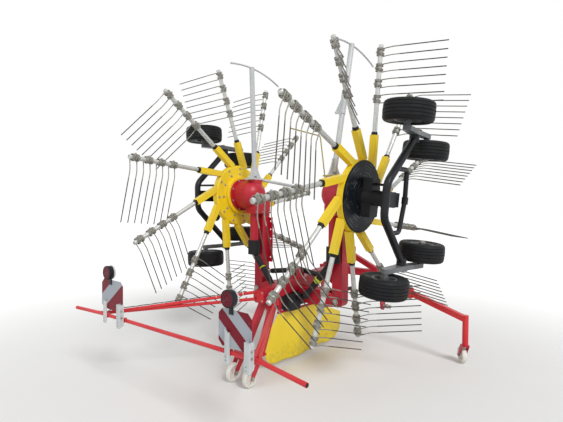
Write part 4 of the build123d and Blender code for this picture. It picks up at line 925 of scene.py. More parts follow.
@dataclass
class GaugeWheels:
    """The four gauge wheels under one rotor: ribbed tyres on dished rims."""

    rotor: Rotor
    workshop: Workshop
    radius: float = 0.203
    half_width: float = 0.0825
    groove: float = 0.006
    # Fall of the tread to its sides, and radius, drop and first angle of its round shoulders
    crown: float = 0.05
    shoulder: float = 0.030
    shoulder_drop: float = 0.003
    shoulder_turn: float = 78.0
    depth: float = 0.656
    pivot_y: float = 0.168
    bogie_arm: float = 0.289
    rear_x: float = 0.704
    front_x: float = 0.452
    # Name of each wheel, and its sign along the rotor's x and y
    rows: tuple[tuple[str, int, int], ...] = (
        ("outer_rear", 1, -1), ("outer_front", 1, 1),
        ("inner_rear", -1, -1), ("inner_front", -1, 1),
    )
    grooves: Section = (
        (-0.058, -0.052), (-0.031, -0.025), (-0.003, 0.003), (0.025, 0.031), (0.052, 0.058),
    )
    # How far inside the tyre's side each point of its wall lies, and its radius
    wall: Section = ((0, 0.158), (0.002, 0.142), (0.004, 0.139), (0.004, 0.134), (0.009, 0.118),
                     (0.014, 0.106), (0.016, 0.100), (0.030, 0.097))
    rim: Section = (
        (-0.079, 0.0128), (-0.079, 0.034), (-0.012, 0.034), (-0.012, 0.060), (-0.020, 0.078),
        (-0.044, 0.088), (-0.064, 0.092), (-0.068, 0.104), (-0.071, 0.104), (-0.068, 0.088),
        (-0.045, 0.082), (0.045, 0.082), (0.068, 0.088), (0.071, 0.104), (0.068, 0.104),
        (0.064, 0.092), (0.044, 0.088), (0.012, 0.078), (0.004, 0.060), (0.004, 0.034),
        (0.079, 0.034), (0.079, 0.0128),
    )

    def middle(self, end: int, row: int) -> Vector:
        """Middle of a wheel in the rotor's frame."""
        cosine, sine = circle(self.rotor.outer_rock if end > 0 else self.rotor.inner_rock)
        x = end * (self.front_x if row > 0 else self.rear_x)
        y = self.rotor.sign * (self.pivot_y + row * self.bogie_arm * cosine)
        return Vector((x, y, -(self.depth - row * self.bogie_arm * sine)))

    def tyre_profile(self) -> list[tuple[float, float]]:
        """Section of the tyre: straight ribs, round shoulders, walls and beads."""
        full, half = self.radius, self.half_width
        tread: list[tuple[float, float]] = []
        for start, end in self.grooves:
            tread += [(start, full - abs(start) * self.crown), (start + 0.001, full - self.groove),
                      (end - 0.001, full - self.groove), (end, full - abs(end) * self.crown)]
        x, r = half - self.shoulder, full - self.shoulder - self.shoulder_drop
        turns = [circle(self.shoulder_turn * (1 - step / 5)) for step in range(6)]
        right = [(x + self.shoulder * cosine, r + self.shoulder * sine) for cosine, sine in turns]
        right += [(half - inside, radius) for inside, radius in self.wall]
        return [(-along, radius) for along, radius in reversed(right)] + tread + right

    def build(self) -> None:
        """Make the wheels."""
        for name, end, row in self.rows:
            node = f"{self.rotor.side.word}_wheel_{name}"
            place = self.rotor.frame() @ Matrix.Translation(self.middle(end, row))
            place = place @ Matrix.Scale(-row * end, 4, (1, 0, 0))
            tyre, rim = bmesh.new(), bmesh.new()
            lathe(tyre, self.tyre_profile(), place, 56)
            lathe(rim, self.rim, place, 40)
            self.workshop.add(f"{node}_tyre", tyre, RubberFinish(), node, [node], 50)
            self.workshop.add(f"{node}_rim", rim, RIM, node)


@dataclass
class CastorWheels:
    """The four white nylon castor wheels with their moulded spokes."""

    workshop: Workshop
    radius: float = 0.0825
    half_width: float = 0.024
    trail: float = 0.080
    spokes: int = 8
    # Name, x and y of each stem, and the way that its wheel trails
    castors: tuple[tuple[str, float, float, float], ...] = (
        ("rear_left", -0.100, -0.596, -90.0), ("rear_right", 0.100, -0.596, -90.0),
        ("stand_left", -1.350, 1.100, 54.0), ("stand_right", 1.350, 1.100, 126.0),
    )

    def place(self, x: float, y: float, direction: float) -> Matrix:
        """The frame of a wheel, x along its axle, from its stem and the way that it trails."""
        stem = Matrix.Translation(at(x, y, 0)) @ turned("Z", direction)
        return stem @ moved(self.trail, 0, self.radius) @ turned("Z", 90)

    def build(self) -> None:
        """Make the wheels."""
        r, w = self.radius, self.half_width
        half = [(0.0285, 0.0083), (0.0285, 0.019), (0.010, 0.020), (0.010, 0.055),
                (w - 0.004, 0.060), (w, 0.066), (w, r - 0.010), (w - 0.004, r - 0.004),
                (w - 0.011, r)]
        profile = [(-along, radius) for along, radius in half] + half[::-1]
        for name, x, y, direction in self.castors:
            place, shape = self.place(x, y, direction), bmesh.new()
            lathe(shape, profile, place, 44)
            for step in range(self.spokes):
                spoke = place @ turned("X", 360 * step / self.spokes)
                block(shape, (-w + 0.005, -0.0025, 0.018), (w - 0.005, 0.0025, 0.060), spoke)
            node = f"{name}_castor_wheel"
            self.workshop.add(f"{node}_tread", shape, NYLON, node, [node])


@dataclass
class RearLamps:
    """Round rear lamps: black housing, pale ring at its front end and a ringed red lens."""

    workshop: Workshop
    x: float = 0.730
    y: float = -1.484
    z: float = 1.0043
    radius: float = 0.058
    depth: float = 0.056

    def build(self) -> None:
        """Make both lamps."""
        housing, rings, lenses = bmesh.new(), bmesh.new(), bmesh.new()
        r, d = self.radius, self.depth
        sections = (
            (housing, [(0.012, 0), (0.012, r - 0.003), (d - 0.010, r), (d - 0.002, r - 0.001),
                       (d, r - 0.003), (d, r - 0.006), (d - 0.005, r - 0.007), (d - 0.005, 0)]),
            (rings, [(0, 0), (0, r - 0.004), (0.004, r), (0.011, r), (0.014, r - 0.003),
                     (0.014, 0)]),
            (lenses, [(d - 0.006, 0), (d - 0.006, r - 0.007), (d - 0.002, r - 0.009),
                      (d - 0.001, r - 0.018), (d - 0.004, r - 0.020), (d - 0.001, r - 0.023),
                      (d - 0.001, r - 0.034), (d - 0.005, r - 0.036), (d - 0.001, r - 0.039),
                      (d - 0.0005, 0)]),
        )
        for sign in (-1, 1):
            place = Matrix.Translation(at(sign * self.x, self.y, self.z)) @ turned("Z", -90)
            for shape, section in sections:
                lathe(shape, section, place, 44)
            block(housing, (0.0145, -0.02, -r - 0.045), (0.019, 0.02, -r + 0.02), place, 0.001)
        self.workshop.add("rear_lamp_housings", housing, BLACK, replaces=["rear_lamps"])
        self.workshop.add("rear_lamp_rings", rings, POST_GREY)
        self.workshop.add("rear_lamp_lenses", lenses, LENS, smooth=20)


@dataclass
class WarningBoards:
    """Striped boards with cut corners on folded white channels with their holes."""

    workshop: Workshop
    rear: float = -1.4983
    thickness: float = 0.004
    seat: float = 0.0005
    corner: float = 0.034
    wall: float = 0.003
    fold: float = 0.004
    end_slope: float = 0.6
    hole_radius: float = 0.0045
    # How far above a channel's lower end its holes are, and how far left of its middle
    hole_rises: tuple[float, ...] = (0.022, 0.045)
    hole_shift: float = 0.004
    # Left, right, bottom and top of each board
    outlines: tuple[tuple[float, float, float, float], ...] = (
        (-0.877, -0.545, 0.690, 0.940), (0.612, 0.904, 0.691, 0.931),
    )
    # Left, right and depth of each channel, its bottom, and its top on the left and on the right
    legs: tuple[tuple[float, float, float, float, float, float], ...] = (
        (-0.829, -0.792, 0.016, 0.568, 0.757, 0.757), (-0.575, -0.525, 0.040, 0.572, 0.765, 0.765),
        (0.681, 0.718, 0.016, 0.590, 0.812, 0.785), (0.878, 0.928, 0.040, 0.580, 0.768, 0.772),
    )

    def build(self) -> None:
        """Make boards, channels and black discs that paint the shade in the channels' holes."""
        boards, channels, holes = bmesh.new(), bmesh.new(), bmesh.new()
        for outline in self.outlines:
            self.board(boards, *outline)
        r = self.hole_radius
        for leg in self.legs:
            self.channel(channels, *leg)
            left, right, depth, bottom = leg[:4]
            x, y = (left + right) / 2 - self.hole_shift, self.rear - self.seat - depth
            for rise in self.hole_rises:
                lathe(holes, [(-0.001, 0), (-0.001, r), (0.0003, r - 0.0005), (0.0003, 0)],
                      facing(at(x, y, bottom + rise), (0, -1, 0)), 12)
        self.workshop.add("warning_boards_striped", boards, StripeFinish(),
                          replaces=["warning_boards"], smooth=None)
        self.workshop.add("board_legs", channels, LEG_WHITE, replaces=["board_channels"])
        # Black discs stand in for the holes: painted shade inside the channels
        self.workshop.add("board_leg_holes", holes, BLACK)

    def board(self, shape: Shape, left: float, right: float, bottom: float, top: float) -> None:
        """Add one plate with its four corners cut."""
        cut = self.corner
        outline = [(left + cut, bottom), (right - cut, bottom), (right, bottom + cut),
                   (right, top - cut), (right - cut, top), (left + cut, top), (left, top - cut),
                   (left, bottom + cut)]
        sides = [[shape.verts.new(at(x, y, z)) for x, z in outline]
                 for y in (self.rear, self.rear + self.thickness)]
        for side in sides:
            shape.faces.new(side)
        skin(shape, *sides)

    def channel(self, shape: Shape, left: float, right: float, depth: float, bottom: float,
                top_left: float, top_right: float) -> None:
        """Add one folded channel behind a board, open to the board, its lower end cut aslant.

        Args:
            shape: Bmesh that gets the faces.
            left: Its left side.
            right: Its right side.
            depth: How far it stands back from the board.
            bottom: Height of its lower end at the rear.
            top_left: Height of its upper end on the left.
            top_right: Height of its upper end on the right.
        """
        front, wall, fold = self.rear - self.seat, self.wall, self.fold
        back, bend = front - depth, self.wall + self.fold / 2
        outline = [(left, front), (left, back + fold), (left + fold, back), (right - fold, back),
                   (right, back + fold), (right, front)]
        folds = len(outline) - 1
        outline += [(right - wall, front), (right - wall, back + bend), (right - bend, back + wall),
                    (left + bend, back + wall), (left + wall, back + bend), (left + wall, front)]
        rise = (top_right - top_left) / (right - left)
        low = [shape.verts.new(at(x, y, bottom + (y - back) * self.end_slope)) for x, y in outline]
        high = [shape.verts.new(at(x, y, top_left + rise * (x - left))) for x, y in outline]
        skin(shape, low, high)
        for ring in (low, high):
            for index in range(folds):
                inner = len(ring) - 1 - index
                shape.faces.new((ring[index], ring[index + 1], ring[inner - 1], ring[inner]))


@dataclass
class LightFrame:
    """Bent red tubes that carry the boards, with plates, clamps, end caps and clipped wiring."""

    workshop: Workshop
    boards: WarningBoards
    radius: float = 0.015
    sides: int = 16
    bend: float = 0.09
    bar_bend: float = 0.05
    stay_inset: float = 0.0006
    clamp_wall: float = 0.003
    clamp_half: float = 0.012
    # Of two points each, the first is on the left
    elbows: tuple[Point, Point] = ((-0.925, -1.479, 0.6235), (0.942, -1.479, 0.657))
    ends: tuple[Point, Point] = ((-1.318, -1.508, 0.616), (1.326, -1.508, 0.626))
    lower_roots: tuple[Point, Point] = ((-0.042, -0.474, 0.714), (0.090, -0.335, 0.672))
    upper_roots: tuple[Point, Point] = ((-0.042, -0.474, 0.776), (0.090, -0.315, 0.722))
    # Lowest and highest corner of the plate on the beam's end and of the one on the right leg
    plates: tuple[tuple[Point, Point], ...] = (
        ((-0.062, -0.4683, 0.692), (0.062, -0.4603, 0.792)),
        ((0.084, -0.365, 0.645), (0.091, -0.285, 0.750)),
    )
    # How far inward of its elbow and above it an upper stay ends
    stay_stop: tuple[float, float] = (0.03, 0.004)
    wire_radius: float = 0.0035
    # Places of the ties along the tube, from 0 at the elbow, and how far past the outer ones the
    # wire starts to sink and is in the tube
    ties: tuple[float, ...] = (0.07, 0.22, 0.31, 0.40, 0.56, 0.74, 0.92)
    sinks: tuple[float, float] = (0.02, 0.035)
    wire_gap: float = 0.001
    wire_slack: float = 0.003
    tie_half: float = 0.0035
    tie_rise: float = 0.0045

    def bar_height(self, x: float) -> float:
        """Height of the cross bar at a place along it."""
        (left, _, low), (right, _, high) = self.elbows
        return low + (high - low) * (x - left) / (right - left)

    def build(self) -> None:
        """Make tubes, plates, clamps and caps."""
        bars, caps, r = bmesh.new(), bmesh.new(), self.radius
        corners = (self.ends[0], *self.elbows, self.ends[1])
        tube(bars, bent([at(*corner) for corner in corners], self.bar_bend), r, self.sides)
        places = zip(self.elbows, self.ends, self.lower_roots, self.upper_roots)
        for sign, points in zip((-1, 1), places):
            elbow, end, low, high = (at(*point) for point in points)
            stay = r - self.stay_inset
            tube(bars, bent([low, elbow, elbow.lerp(end, 0.3)], self.bend), stay, self.sides)
            inward, upward = self.stay_stop
            tube(bars, [high, elbow + Vector((-sign * inward, 0, upward))], stay, self.sides)
            lathe(caps, [(-0.004, 0), (-0.004, r * 0.85), (0.0012, r * 0.85), (0.002, r * 0.7),
                         (0.002, 0)], facing(end, end - elbow), 20)
        for low, high in self.plates:
            block(bars, low, high, MACHINE, 0.002)
        for left, right, depth, *_ in self.boards.legs:
            x, half = (left + right) / 2, r + self.clamp_wall
            z = self.bar_height(x)
            block(bars, (x - self.clamp_half, self.boards.rear - depth + self.clamp_wall, z - half),
                  (x + self.clamp_half, self.elbows[0][1] + half, z + half), MACHINE, 0.002)
        self.workshop.add("light_frame_tubes", bars, BRIGHT_RED, replaces=["light_frame"])
        self.workshop.add("light_frame_caps", caps, BLACK)
        self.wiring()

    def wiring(self) -> None:
        """Lamp wiring that leaves the upper left tube, is clipped along it and goes back in."""
        start, root = at(*self.elbows[0]), at(*self.upper_roots[0])
        lift = Vector((0, 0, self.radius + self.wire_radius + self.wire_gap))
        slack = lift + Vector((self.wire_slack, 0, self.wire_slack))
        (first, *_, last), (sinks, inside) = self.ties, self.sinks
        stations = [(first - inside, lift * 0), (first - sinks, lift)]
        for before, after in zip(self.ties, self.ties[1:]):
            stations += [(before, lift), ((before + after) / 2, slack)]
        stations += [(last, lift), (last + sinks, lift), (last + inside, lift * 0)]
        wire, ties, r, half = bmesh.new(), bmesh.new(), self.radius + self.tie_rise, self.tie_half
        line = [start.lerp(root, share) + up for share, up in stations]
        tube(wire, bent(line, 0.012, 3), self.wire_radius, 8)
        for share in self.ties:
            lathe(ties, [(-half, r - 0.003), (-half, r), (half, r), (half, r - 0.003)],
                  facing(start.lerp(root, share) + lift * 0.2, root - start), 20)
        self.workshop.add("lamp_wiring", wire, GUARD)
        self.workshop.add("wiring_ties", ties, NYLON)


@dataclass
class GuardGusset:
    """The holed gusset and the wider tube on the right guard post."""

    workshop: Workshop
    hinge_x: float = 0.5
    foot_z: float = 1.89
    lean: float = 13.0
    start: float = 2.435
    end: float = 2.66
    sleeve_radius: float = 0.0305
    half_thickness: float = 0.003
    # The gusset as y and z: its foot, how high it follows the post and its width at the head
    plate_foot: Section = ((0.004, 2.428), (0.012, 2.418))
    plate_ends: tuple[float, float] = (2.43, 2.625)
    head_width: float = 0.022
    # y, z and radius of its hole, and the angles of the hole's corners in degrees
    hole: tuple[float, float, float] = (0.030, 2.447, 0.009)
    hole_turns: tuple[float, ...] = (200, 270, 0, 60, 130)

    def axis(self, z: float) -> tuple[float, float]:
        """The post's middle at a height, as y and z."""
        return math.tan(math.radians(self.lean)) * (z - self.foot_z), z

    def build(self) -> None:
        """Make the sleeve and the plate with its hole."""
        shape, r = bmesh.new(), self.sleeve_radius
        low, high = (at(self.hinge_x, *self.axis(z)) for z in (self.start, self.end))
        length = (high - low).length
        lathe(shape, [(0, 0.02), (0, r - 0.002), (0.002, r), (length - 0.002, r),
                      (length, r - 0.002), (length, 0.02)], facing(low, high - low), 28)
        foot, head = (self.axis(z) for z in self.plate_ends)
        outer = [*self.plate_foot, foot, head, (head[0] - self.head_width, head[1])]
        hole_y, hole_z, hole_radius = self.hole
        turns = [circle(degrees) for degrees in self.hole_turns]
        hole = [(hole_y + hole_radius * cosine, hole_z + hole_radius * sine)
                for cosine, sine in turns]
        for index, corner in enumerate(outer):
            after = (index + 1) % len(outer)
            corners = [corner, outer[after], hole[after], hole[index]]
            near, away = ([shape.verts.new(at(self.hinge_x + side * self.half_thickness, y, z))
                           for y, z in corners] for side in (-1, 1))
            for face in (near, away, (near[0], near[1], away[1], away[0]),
                         (near[2], near[3], away[3], away[2])):
                shape.faces.new(face)
        bmesh.ops.remove_doubles(shape, verts=shape.verts[:], dist=1e-5)
        self.workshop.add("right_guard_gusset", shape, POST_GREY, "right_arm")


@dataclass
class ShaftRings:
    """Lime rings on the outer tubes of the slanting drive shafts."""

    workshop: Workshop
    foot_x: float = 0.170
    foot_z: float = 0.680
    head_x: float = 0.500
    head_z: float = 1.070
    # Place along the shaft from 0 at its foot to 1 at its head, outer radius and half width
    rings: tuple[tuple[Side, float, float, float], ...] = (
        (Side.RIGHT, 0.49, 0.0365, 0.021), (Side.LEFT, 0.62, 0.0335, 0.006),
    )

    def build(self) -> None:
        """Make both rings."""
        for side, share, r, half in self.rings:
            low, high = (at(side.value * x, 0, z)
                         for x, z in ((self.foot_x, self.foot_z), (self.head_x, self.head_z)))
            shape = bmesh.new()
            lathe(shape, [(-half, r - 0.004), (-half, r - 0.001), (0.002 - half, r),
                          (half - 0.002, r), (half, r - 0.001), (half, r - 0.004)],
                  facing(low.lerp(high, share), high - low))
            self.workshop.add(f"{side.word}_shaft_ring", shape, LIME,
                              f"{side.word}_shaft_upper_half")


@dataclass
class HitchPins:
    """Steel sleeves, balls and linch rings on the lower hitch pins."""

    workshop: Workshop
    y: float = 1.200
    z: float = 0.428
    start: float = 0.4135
    length: float = 0.090
    radius: float = 0.0148
    collar_radius: float = 0.021
    ball_radius: float = 0.026
    ball_start: float = 0.018
    bore_radius: float = 0.012
    # Linch ring: half its width and height, its wire, its place from the pin's end and its sag
    ring_size: tuple[float, float] = (0.021, 0.024)
    ring_wire: float = 0.0022
    ring_inset: float = 0.012
    ring_sag: float = 0.004

    def build(self) -> None:
        """Make both pins' fittings as one piece."""
        shape, length, r = bmesh.new(), self.length, self.radius
        turns = [circle(degrees) for degrees in range(40, 141, 10)]
        ball = [(self.ball_start + self.ball_radius * (1 - cosine), self.ball_radius * sine)
                for cosine, sine in turns]
        turns = [circle(degrees) for degrees in range(-80, 261, 20)]
        wide, high = self.ring_size
        ring = [Vector((length - self.ring_inset, wide * cosine, high * sine - self.ring_sag))
                for cosine, sine in turns]
        for sign in (-1, 1):
            place = facing(at(sign * self.start, self.y, self.z), (sign, 0, 0))
            lathe(shape, [(0, 0), (0, self.collar_radius), (0.004, self.collar_radius), (0.004, r),
                          (length - 0.002, r), (length, r - 0.002), (length, 0)], place, 28)
            lathe(shape, [(ball[0][0], self.bore_radius), *ball, (ball[-1][0], self.bore_radius)],
                  place)
            tube(shape, [place @ point for point in ring], self.ring_wire, 8)
        self.workshop.add("hitch_pin_balls", shape, BOLT)


@dataclass
class Curtain:
    """The yellow sheet between the rotors, hung in slack waves from its rail."""

    workshop: Workshop
    outline: Section = (
        (-0.188, 0.5275), (-0.330, 0.350), (-0.375, 0.190), (-0.345, 0.120), (-0.275, 0.062),
        (-0.011, 0.052), (0.181, 0.050), (0.307, 0.055), (0.452, 0.068), (0.644, 0.058),
        (0.800, 0.075), (0.890, 0.130), (0.925, 0.200), (0.925, 0.350), (0.600, 0.468),
        (0.508, 0.5175),
    )
    rear: float = -0.375
    front: float = 0.925
    bottom: float = 0.05
    top: float = 0.55
    flat_height: float = 0.478
    thickness: float = 0.003
    step: float = 0.018
    # Height below which the sheet waves, and how far below that its waves are full
    hung_at: float = 0.53
    slack_over: float = 0.47
    # Of each wave its size, its radians to the metre forward and up, and the power of its fading
    waves: tuple[tuple[float, float, float, int], ...] = (
        (0.010, 9.0, 2.0, 1), (0.006, 21.0, -7.0, 2),
    )

    def cut(self, shape: Shape, axis: Vector, start: float, end: float) -> None:
        """Cut the sheet across at even steps along an axis."""
        for index in range(1, int((end - start) / self.step)):
            bmesh.ops.bisect_plane(shape, geom=[*shape.verts, *shape.edges, *shape.faces],
                                   plane_co=axis * (start + index * self.step), plane_no=axis)

    def build(self) -> None:
        """Cut the sheet to its outline and let it wave."""
        shape = bmesh.new()
        shape.faces.new([shape.verts.new((0, y, z)) for y, z in self.outline])
        self.cut(shape, Vector((0, 1, 0)), self.rear, self.front)
        self.cut(shape, Vector((0, 0, 1)), self.bottom, self.top)
        flat_area = sum(face.calc_area() for face in shape.faces)
        for vert in shape.verts:
            _, y, z = vert.co
            slack = max(0.0, (self.hung_at - z) / self.slack_over)
            wave = sum(size * math.sin(y * forward + z * upward) * slack ** power
                       for size, forward, upward, power in self.waves)
            vert.co = at(wave, y, z)
        bmesh.ops.triangulate(shape, faces=[face for face in shape.faces if len(face.verts) > 4])
        piece = self.workshop.add("guard_curtain_sheet", shape, CurtainFinish(),
                                  replaces=["guard_curtain"], smooth=60)
        solid = piece.modifiers.new("thickness", "SOLIDIFY")
        solid.thickness = self.thickness
        solid.offset = 0


@dataclass
class Fasteners:
    """Hexagon bolts and nuts on flanges, drums, plates, axles, pins and board legs."""

    workshop: Workshop
    castors: CastorWheels
    head_radius: float = 0.0095
    small_radius: float = 0.0068
    castor_radius: float = 0.0125
    pin_radius: float = 0.021
    pin_height: float = 0.014
    axle_radius: float = 0.026
    axle_height: float = 0.0165
    # Half widths over a castor's fork, a gauge wheel's hub, a bogie's pivot and a hinge
    fork_half: float = 0.0362
    hub_half: float = 0.0795
    pivot_half: float = 0.5985
    hinge_half: float = 0.0818
    stem_top: float = 0.2622
    # Radius, number, height and first angle of each ring of bolts, on a drum and on a gearbox
    drum_rings: tuple[tuple[float, int, float, float], ...] = (
        (0.292, 11, -0.220, 10), (0.232, 11, -0.220, 10),
    )
    gearbox_ring: tuple[float, int, float, float] = (0.161, 8, -0.160, 22)
    # Bolts on a mast's head: to either side of the hinge, along y, and their height
    head_across: float = 0.071
    head_rows: tuple[float, ...] = (-0.050, 0.050, 0.150)
    head_top: float = 1.500
    # The right one of each pair of pins; a stand's pin has a nut at either end of its height
    hinge_pin: Point = (0.5, 0.125, 0.680)
    stand_pin: tuple[float, float] = (0.750, 1.150)
    stand_ends: tuple[tuple[float, int], ...] = ((0.6915, 1), (0.5825, -1))
    # x and z of the bolts on the beam's end plate and of the nuts on the board channels' sides
    plate_bolts: Section = ((-0.048, 0.706), (-0.048, 0.778), (0.048, 0.706), (0.048, 0.778))
    plate_rear: float = -0.4683
    leg_nuts: Section = ((-0.525, 0.714), (-0.525, 0.659), (0.928, 0.718), (0.928, 0.676))
    leg_nuts_y: float = -1.520

    def set(self, name: str, body: str, places: Sequence[Matrix], radius: float,
            height: float = 0.0) -> None:
        """Set equal hexagon heads with washers, each along the x axis of its place.

        Args:
            name: Name of the piece.
            body: CAD body that they ride on.
            places: Their places.
            radius: Radius of a head's corners.
            height: Height of a head, or 0 for nine tenths of the radius.
        """
        shape, tall = bmesh.new(), height or radius * 0.9
        lathe(shape, [(-0.001, 0), (-0.001, radius * 1.4), (0.002, radius * 1.4), (0.002, 0)],
              OWN, 18)
        lathe(shape, [(0.002, 0), (0.002, radius), (tall, radius), (tall * 1.1, radius * 0.82),
                      (tall * 1.1, 0)], OWN, 6)
        self.workshop.repeat(name, shape, places, BOLT, body, 30)

    def ring(self, frame: Matrix, radius: float, count: int, height: float,
             start: float) -> list[Matrix]:
        """Places on a ring about a frame's z axis, with their heads along it.

        Args:
            frame: Frame of the ring's middle.
            radius: Radius of the ring.
            count: Number of bolts.
            height: Distance along z.
            start: Angle of the first bolt, in degrees.

        Returns:
            A place for each bolt.
        """
        return [frame @ turned("Z", start + 360 * step / count) @ moved(radius, 0, height)
                @ turned("Y", -90) for step in range(count)]

    def build(self) -> None:
        """Set all bolts."""
        for rotor in ROTORS:
            self.rotor_bolts(rotor)
        for name, x, y, direction in self.castors.castors:
            place = self.castors.place(x, y, direction)
            sides = [place @ moved(-self.fork_half) @ turned("Z", 180),
                     place @ moved(self.fork_half)]
            if name.startswith("rear"):
                sides.append(facing(at(x, y, self.stem_top), (0, 0, 1)))
            self.set(f"{name}_castor_nuts", f"{name}_castor_fork", sides, self.castor_radius)
        (hinge_x, hinge_y, hinge_z), (stand_x, stand_y) = self.hinge_pin, self.stand_pin
        pins = [facing(at(sign * hinge_x, hinge_y + way * self.hinge_half, hinge_z), (0, way, 0))
                for sign in (-1, 1) for way in (-1, 1)]
        pins += [facing(at(sign * stand_x, stand_y, z), (0, 0, way))
                 for sign in (-1, 1) for z, way in self.stand_ends]
        self.set("frame_pin_nuts", "frame", pins, self.pin_radius, self.pin_height)
        small = [facing(at(x, self.plate_rear, z), (0, -1, 0)) for x, z in self.plate_bolts]
        small += [facing(at(x, self.leg_nuts_y, z), (1, 0, 0)) for x, z in self.leg_nuts]
        self.set("frame_bolts", "frame", small, self.small_radius)

    def rotor_bolts(self, rotor: Rotor) -> None:
        """Set the bolts of one rotor, its gearbox, mast head, bogies and axles."""
        word, frame = rotor.side.word, rotor.frame()
        drum = frame @ turned("Z", rotor.sign * rotor.phase)
        places = [place for ring in self.drum_rings for place in self.ring(drum, *ring)]
        self.set(f"{word}_drum_bolts", rotor.body, places, self.head_radius)
        top, hinge_x = self.ring(frame, *self.gearbox_ring), rotor.sign * rotor.hinge_x
        top += [facing(at(hinge_x + way * self.head_across, y, self.head_top), (0, 0, 1))
                for way in (-1, 1) for y in self.head_rows]
        self.set(f"{word}_gearbox_bolts", rotor.arm_body, top, self.head_radius * 0.8)
        wheels = GaugeWheels(rotor, self.workshop)
        ends = [(wheels.middle(end, row), -row * end, self.hub_half)
                for _, end, row in wheels.rows]
        pivot = Vector((0, rotor.sign * wheels.pivot_y, -wheels.depth))
        ends += [(pivot, end, self.pivot_half) for end in (-1, 1)]
        axles = [frame @ Matrix.Translation(middle) @ turned("Z", 90 - 90 * way) @ moved(along)
                 for middle, way, along in ends]
        self.set(f"{word}_bogie_nuts", rotor.arm_body, axles, self.axle_radius,
                 self.axle_height)


@dataclass
class Studio:
    """Floor, lamps, sky and the camera of the photograph."""

    focal_px: float = 433.25
    azimuth: float = 39.914
    pitch: float = 1.088
    roll: float = -0.515
    eye: Point = (2.687, -3.361, 1.600)
    sensor_width: float = 36.0
    sky_light: float = 0.5
    floor_size: float = 60.0
    suns: tuple[tuple[str, float, float, Point], ...] = (
        ("sun", 1.9, 18.0, (50, 0, 68)), ("fill", 0.55, 60.0, (55, 0, -10)),
    )

    def camera(self) -> None:
        """Place the camera as the photograph was taken."""
        (east, north), (level, sink), (upright, aslant) = (
            circle(degrees) for degrees in (self.azimuth, self.pitch, self.roll))
        ahead = Vector((-north * level, east * level, -sink))
        right = Vector((east, north, 0))
        up = right.cross(ahead)
        data = bpy.data.cameras.new("camera")
        data.sensor_width = self.sensor_width
        data.lens = self.focal_px * data.sensor_width / IMAGE_WIDTH
        camera = put("camera", data)
        camera.matrix_world = framed(right * upright - up * aslant, up * upright + right * aslant,
                                     -ahead, at(*self.eye))
        bpy.context.scene.camera = camera

    def sky(self) -> None:
        """A plain white world that lights softly and shows white to the camera."""
        world = bpy.data.worlds.new("sky")
        bpy.context.scene.world = world
        steps = Steps(world)
        back = steps.tree.nodes["Background"].inputs
        steps.feed(back["Color"], (1, 1, 1))
        steps.feed(back["Strength"], steps.scaled(steps.seen(), self.sky_light, 1.0))

    def lamps(self) -> None:
        """One broad sun from the camera's right and a weak one from its left."""
        for name, strength, angle, turn in self.suns:
            data = bpy.data.lights.new(name, "SUN")
            data.energy = strength
            data.angle = math.radians(angle)
            put(name, data).rotation_euler = tuple(math.radians(degrees) for degrees in turn)

    def floor(self, workshop: Workshop) -> None:
        """A wide pale floor."""
        shape = bmesh.new()
        bmesh.ops.create_grid(shape, x_segments=1, y_segments=1, size=self.floor_size)
        mesh = new_mesh("floor", shape, None)
        mesh.materials.append(workshop.material(FloorFinish()))
        put("floor", mesh)

    def build(self, workshop: Workshop) -> None:
        """Set up the whole studio."""
        bpy.context.scene.view_settings.view_transform = "Standard"
        self.camera()
        self.sky()
        self.lamps()
        self.floor(workshop)


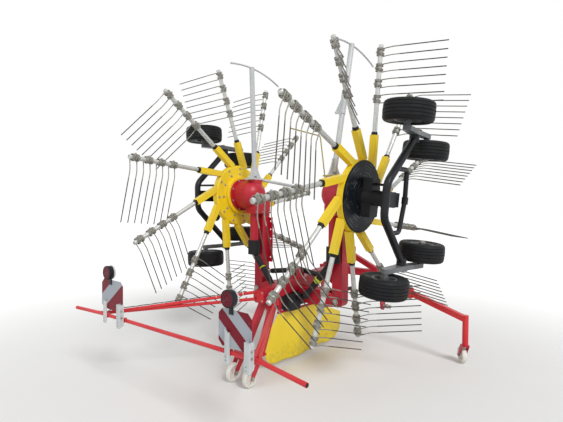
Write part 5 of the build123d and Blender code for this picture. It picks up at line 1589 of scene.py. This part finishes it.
@dataclass
class CadNodes:
    """The finishes of the CAD nodes that stay in view."""

    workshop: Workshop
    cover_depth: float = 0.29
    black_from: float = 0.286
    guard_foot: float = 0.1
    guard_rust: Colour = (0.36, 0.3, 0.07)

    def own_finishes(self) -> dict[str, Finish]:
        """Finishes of nodes whose pattern has a place of its own."""
        finishes: dict[str, Finish] = {"right_tube_guard": TwoColourFinish(
            "right_guard_grey", POST_GREY.slot, POST_GREY.colour, POST_GREY.faded,
            chip=POST_GREY.chip, second=self.guard_rust, ahead=(0.0, -1.0, 0.0),
            beyond=self.guard_foot - at(0, 0, 0).y)}
        for rotor in ROTORS:
            word, outward = rotor.side.word, rotor.outward()
            finishes[f"{word}_cam_cover"] = CamCoverFinish(
                f"{word}_cam_cover_black", "black_paint",
                tuple(rotor.frame() @ Vector((0, 0, -self.cover_depth))),
                math.radians(rotor.sign * rotor.lean))
            finishes[f"{word}_rotor_gearbox"] = TwoColourFinish(
                f"{word}_gearbox_red", RED.slot, RED.colour, RED.faded, ahead=tuple(outward),
                beyond=rotor.frame().translation.dot(outward) + self.black_from)
        return finishes

    def dress(self, nodes: dict[str, bpy.types.Object]) -> None:
        """Give the nodes their finishes.

        Args:
            nodes: The CAD nodes by name.
        """
        by_ending = {
            "main_frame": RED, "headstock": RED, "rear_leg": RED, "mast": RED, "drive_tube": RED,
            "castor_fork": RED, "stand": BRIGHT_RED, "middle_gearbox": CASTING,
            "hub_console": CASTING, "input_shaft": GUARD, "drive_cup": GUARD,
            "shaft_lower": GUARD, "shaft_upper": GUARD, "tube_guard": POST_GREY,
            "chassis": BLACK, "bogie_beams": DARK_GREY, "rotor_drum": YELLOW,
            "cylinder_barrel": BLACK, "cylinder_rod": CHROME,
        }
        own = self.own_finishes()
        for name, node in nodes.items():
            shared = (finish for ending, finish in by_ending.items() if name.endswith(ending))
            finish = own.get(name) or next(shared, None)
            if finish:
                self.workshop.dress(node, finish)


def main() -> None:
    """Build the whole scene."""
    logging.basicConfig(level=logging.INFO, format="%(message)s")
    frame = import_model()
    workshop = Workshop()
    Studio().build(workshop)
    CadNodes(workshop).dress(frame["nodes"])
    for rotor in ROTORS:
        TineArms(rotor, workshop).build()
        GaugeWheels(rotor, workshop).build()
    castors, boards = CastorWheels(workshop), WarningBoards(workshop)
    for group in (castors, boards, LightFrame(workshop, boards), RearLamps(workshop),
                  GuardGusset(workshop), ShaftRings(workshop), HitchPins(workshop),
                  Curtain(workshop), Fasteners(workshop, castors)):
        group.build()


if __name__ == "__main__":
    main()
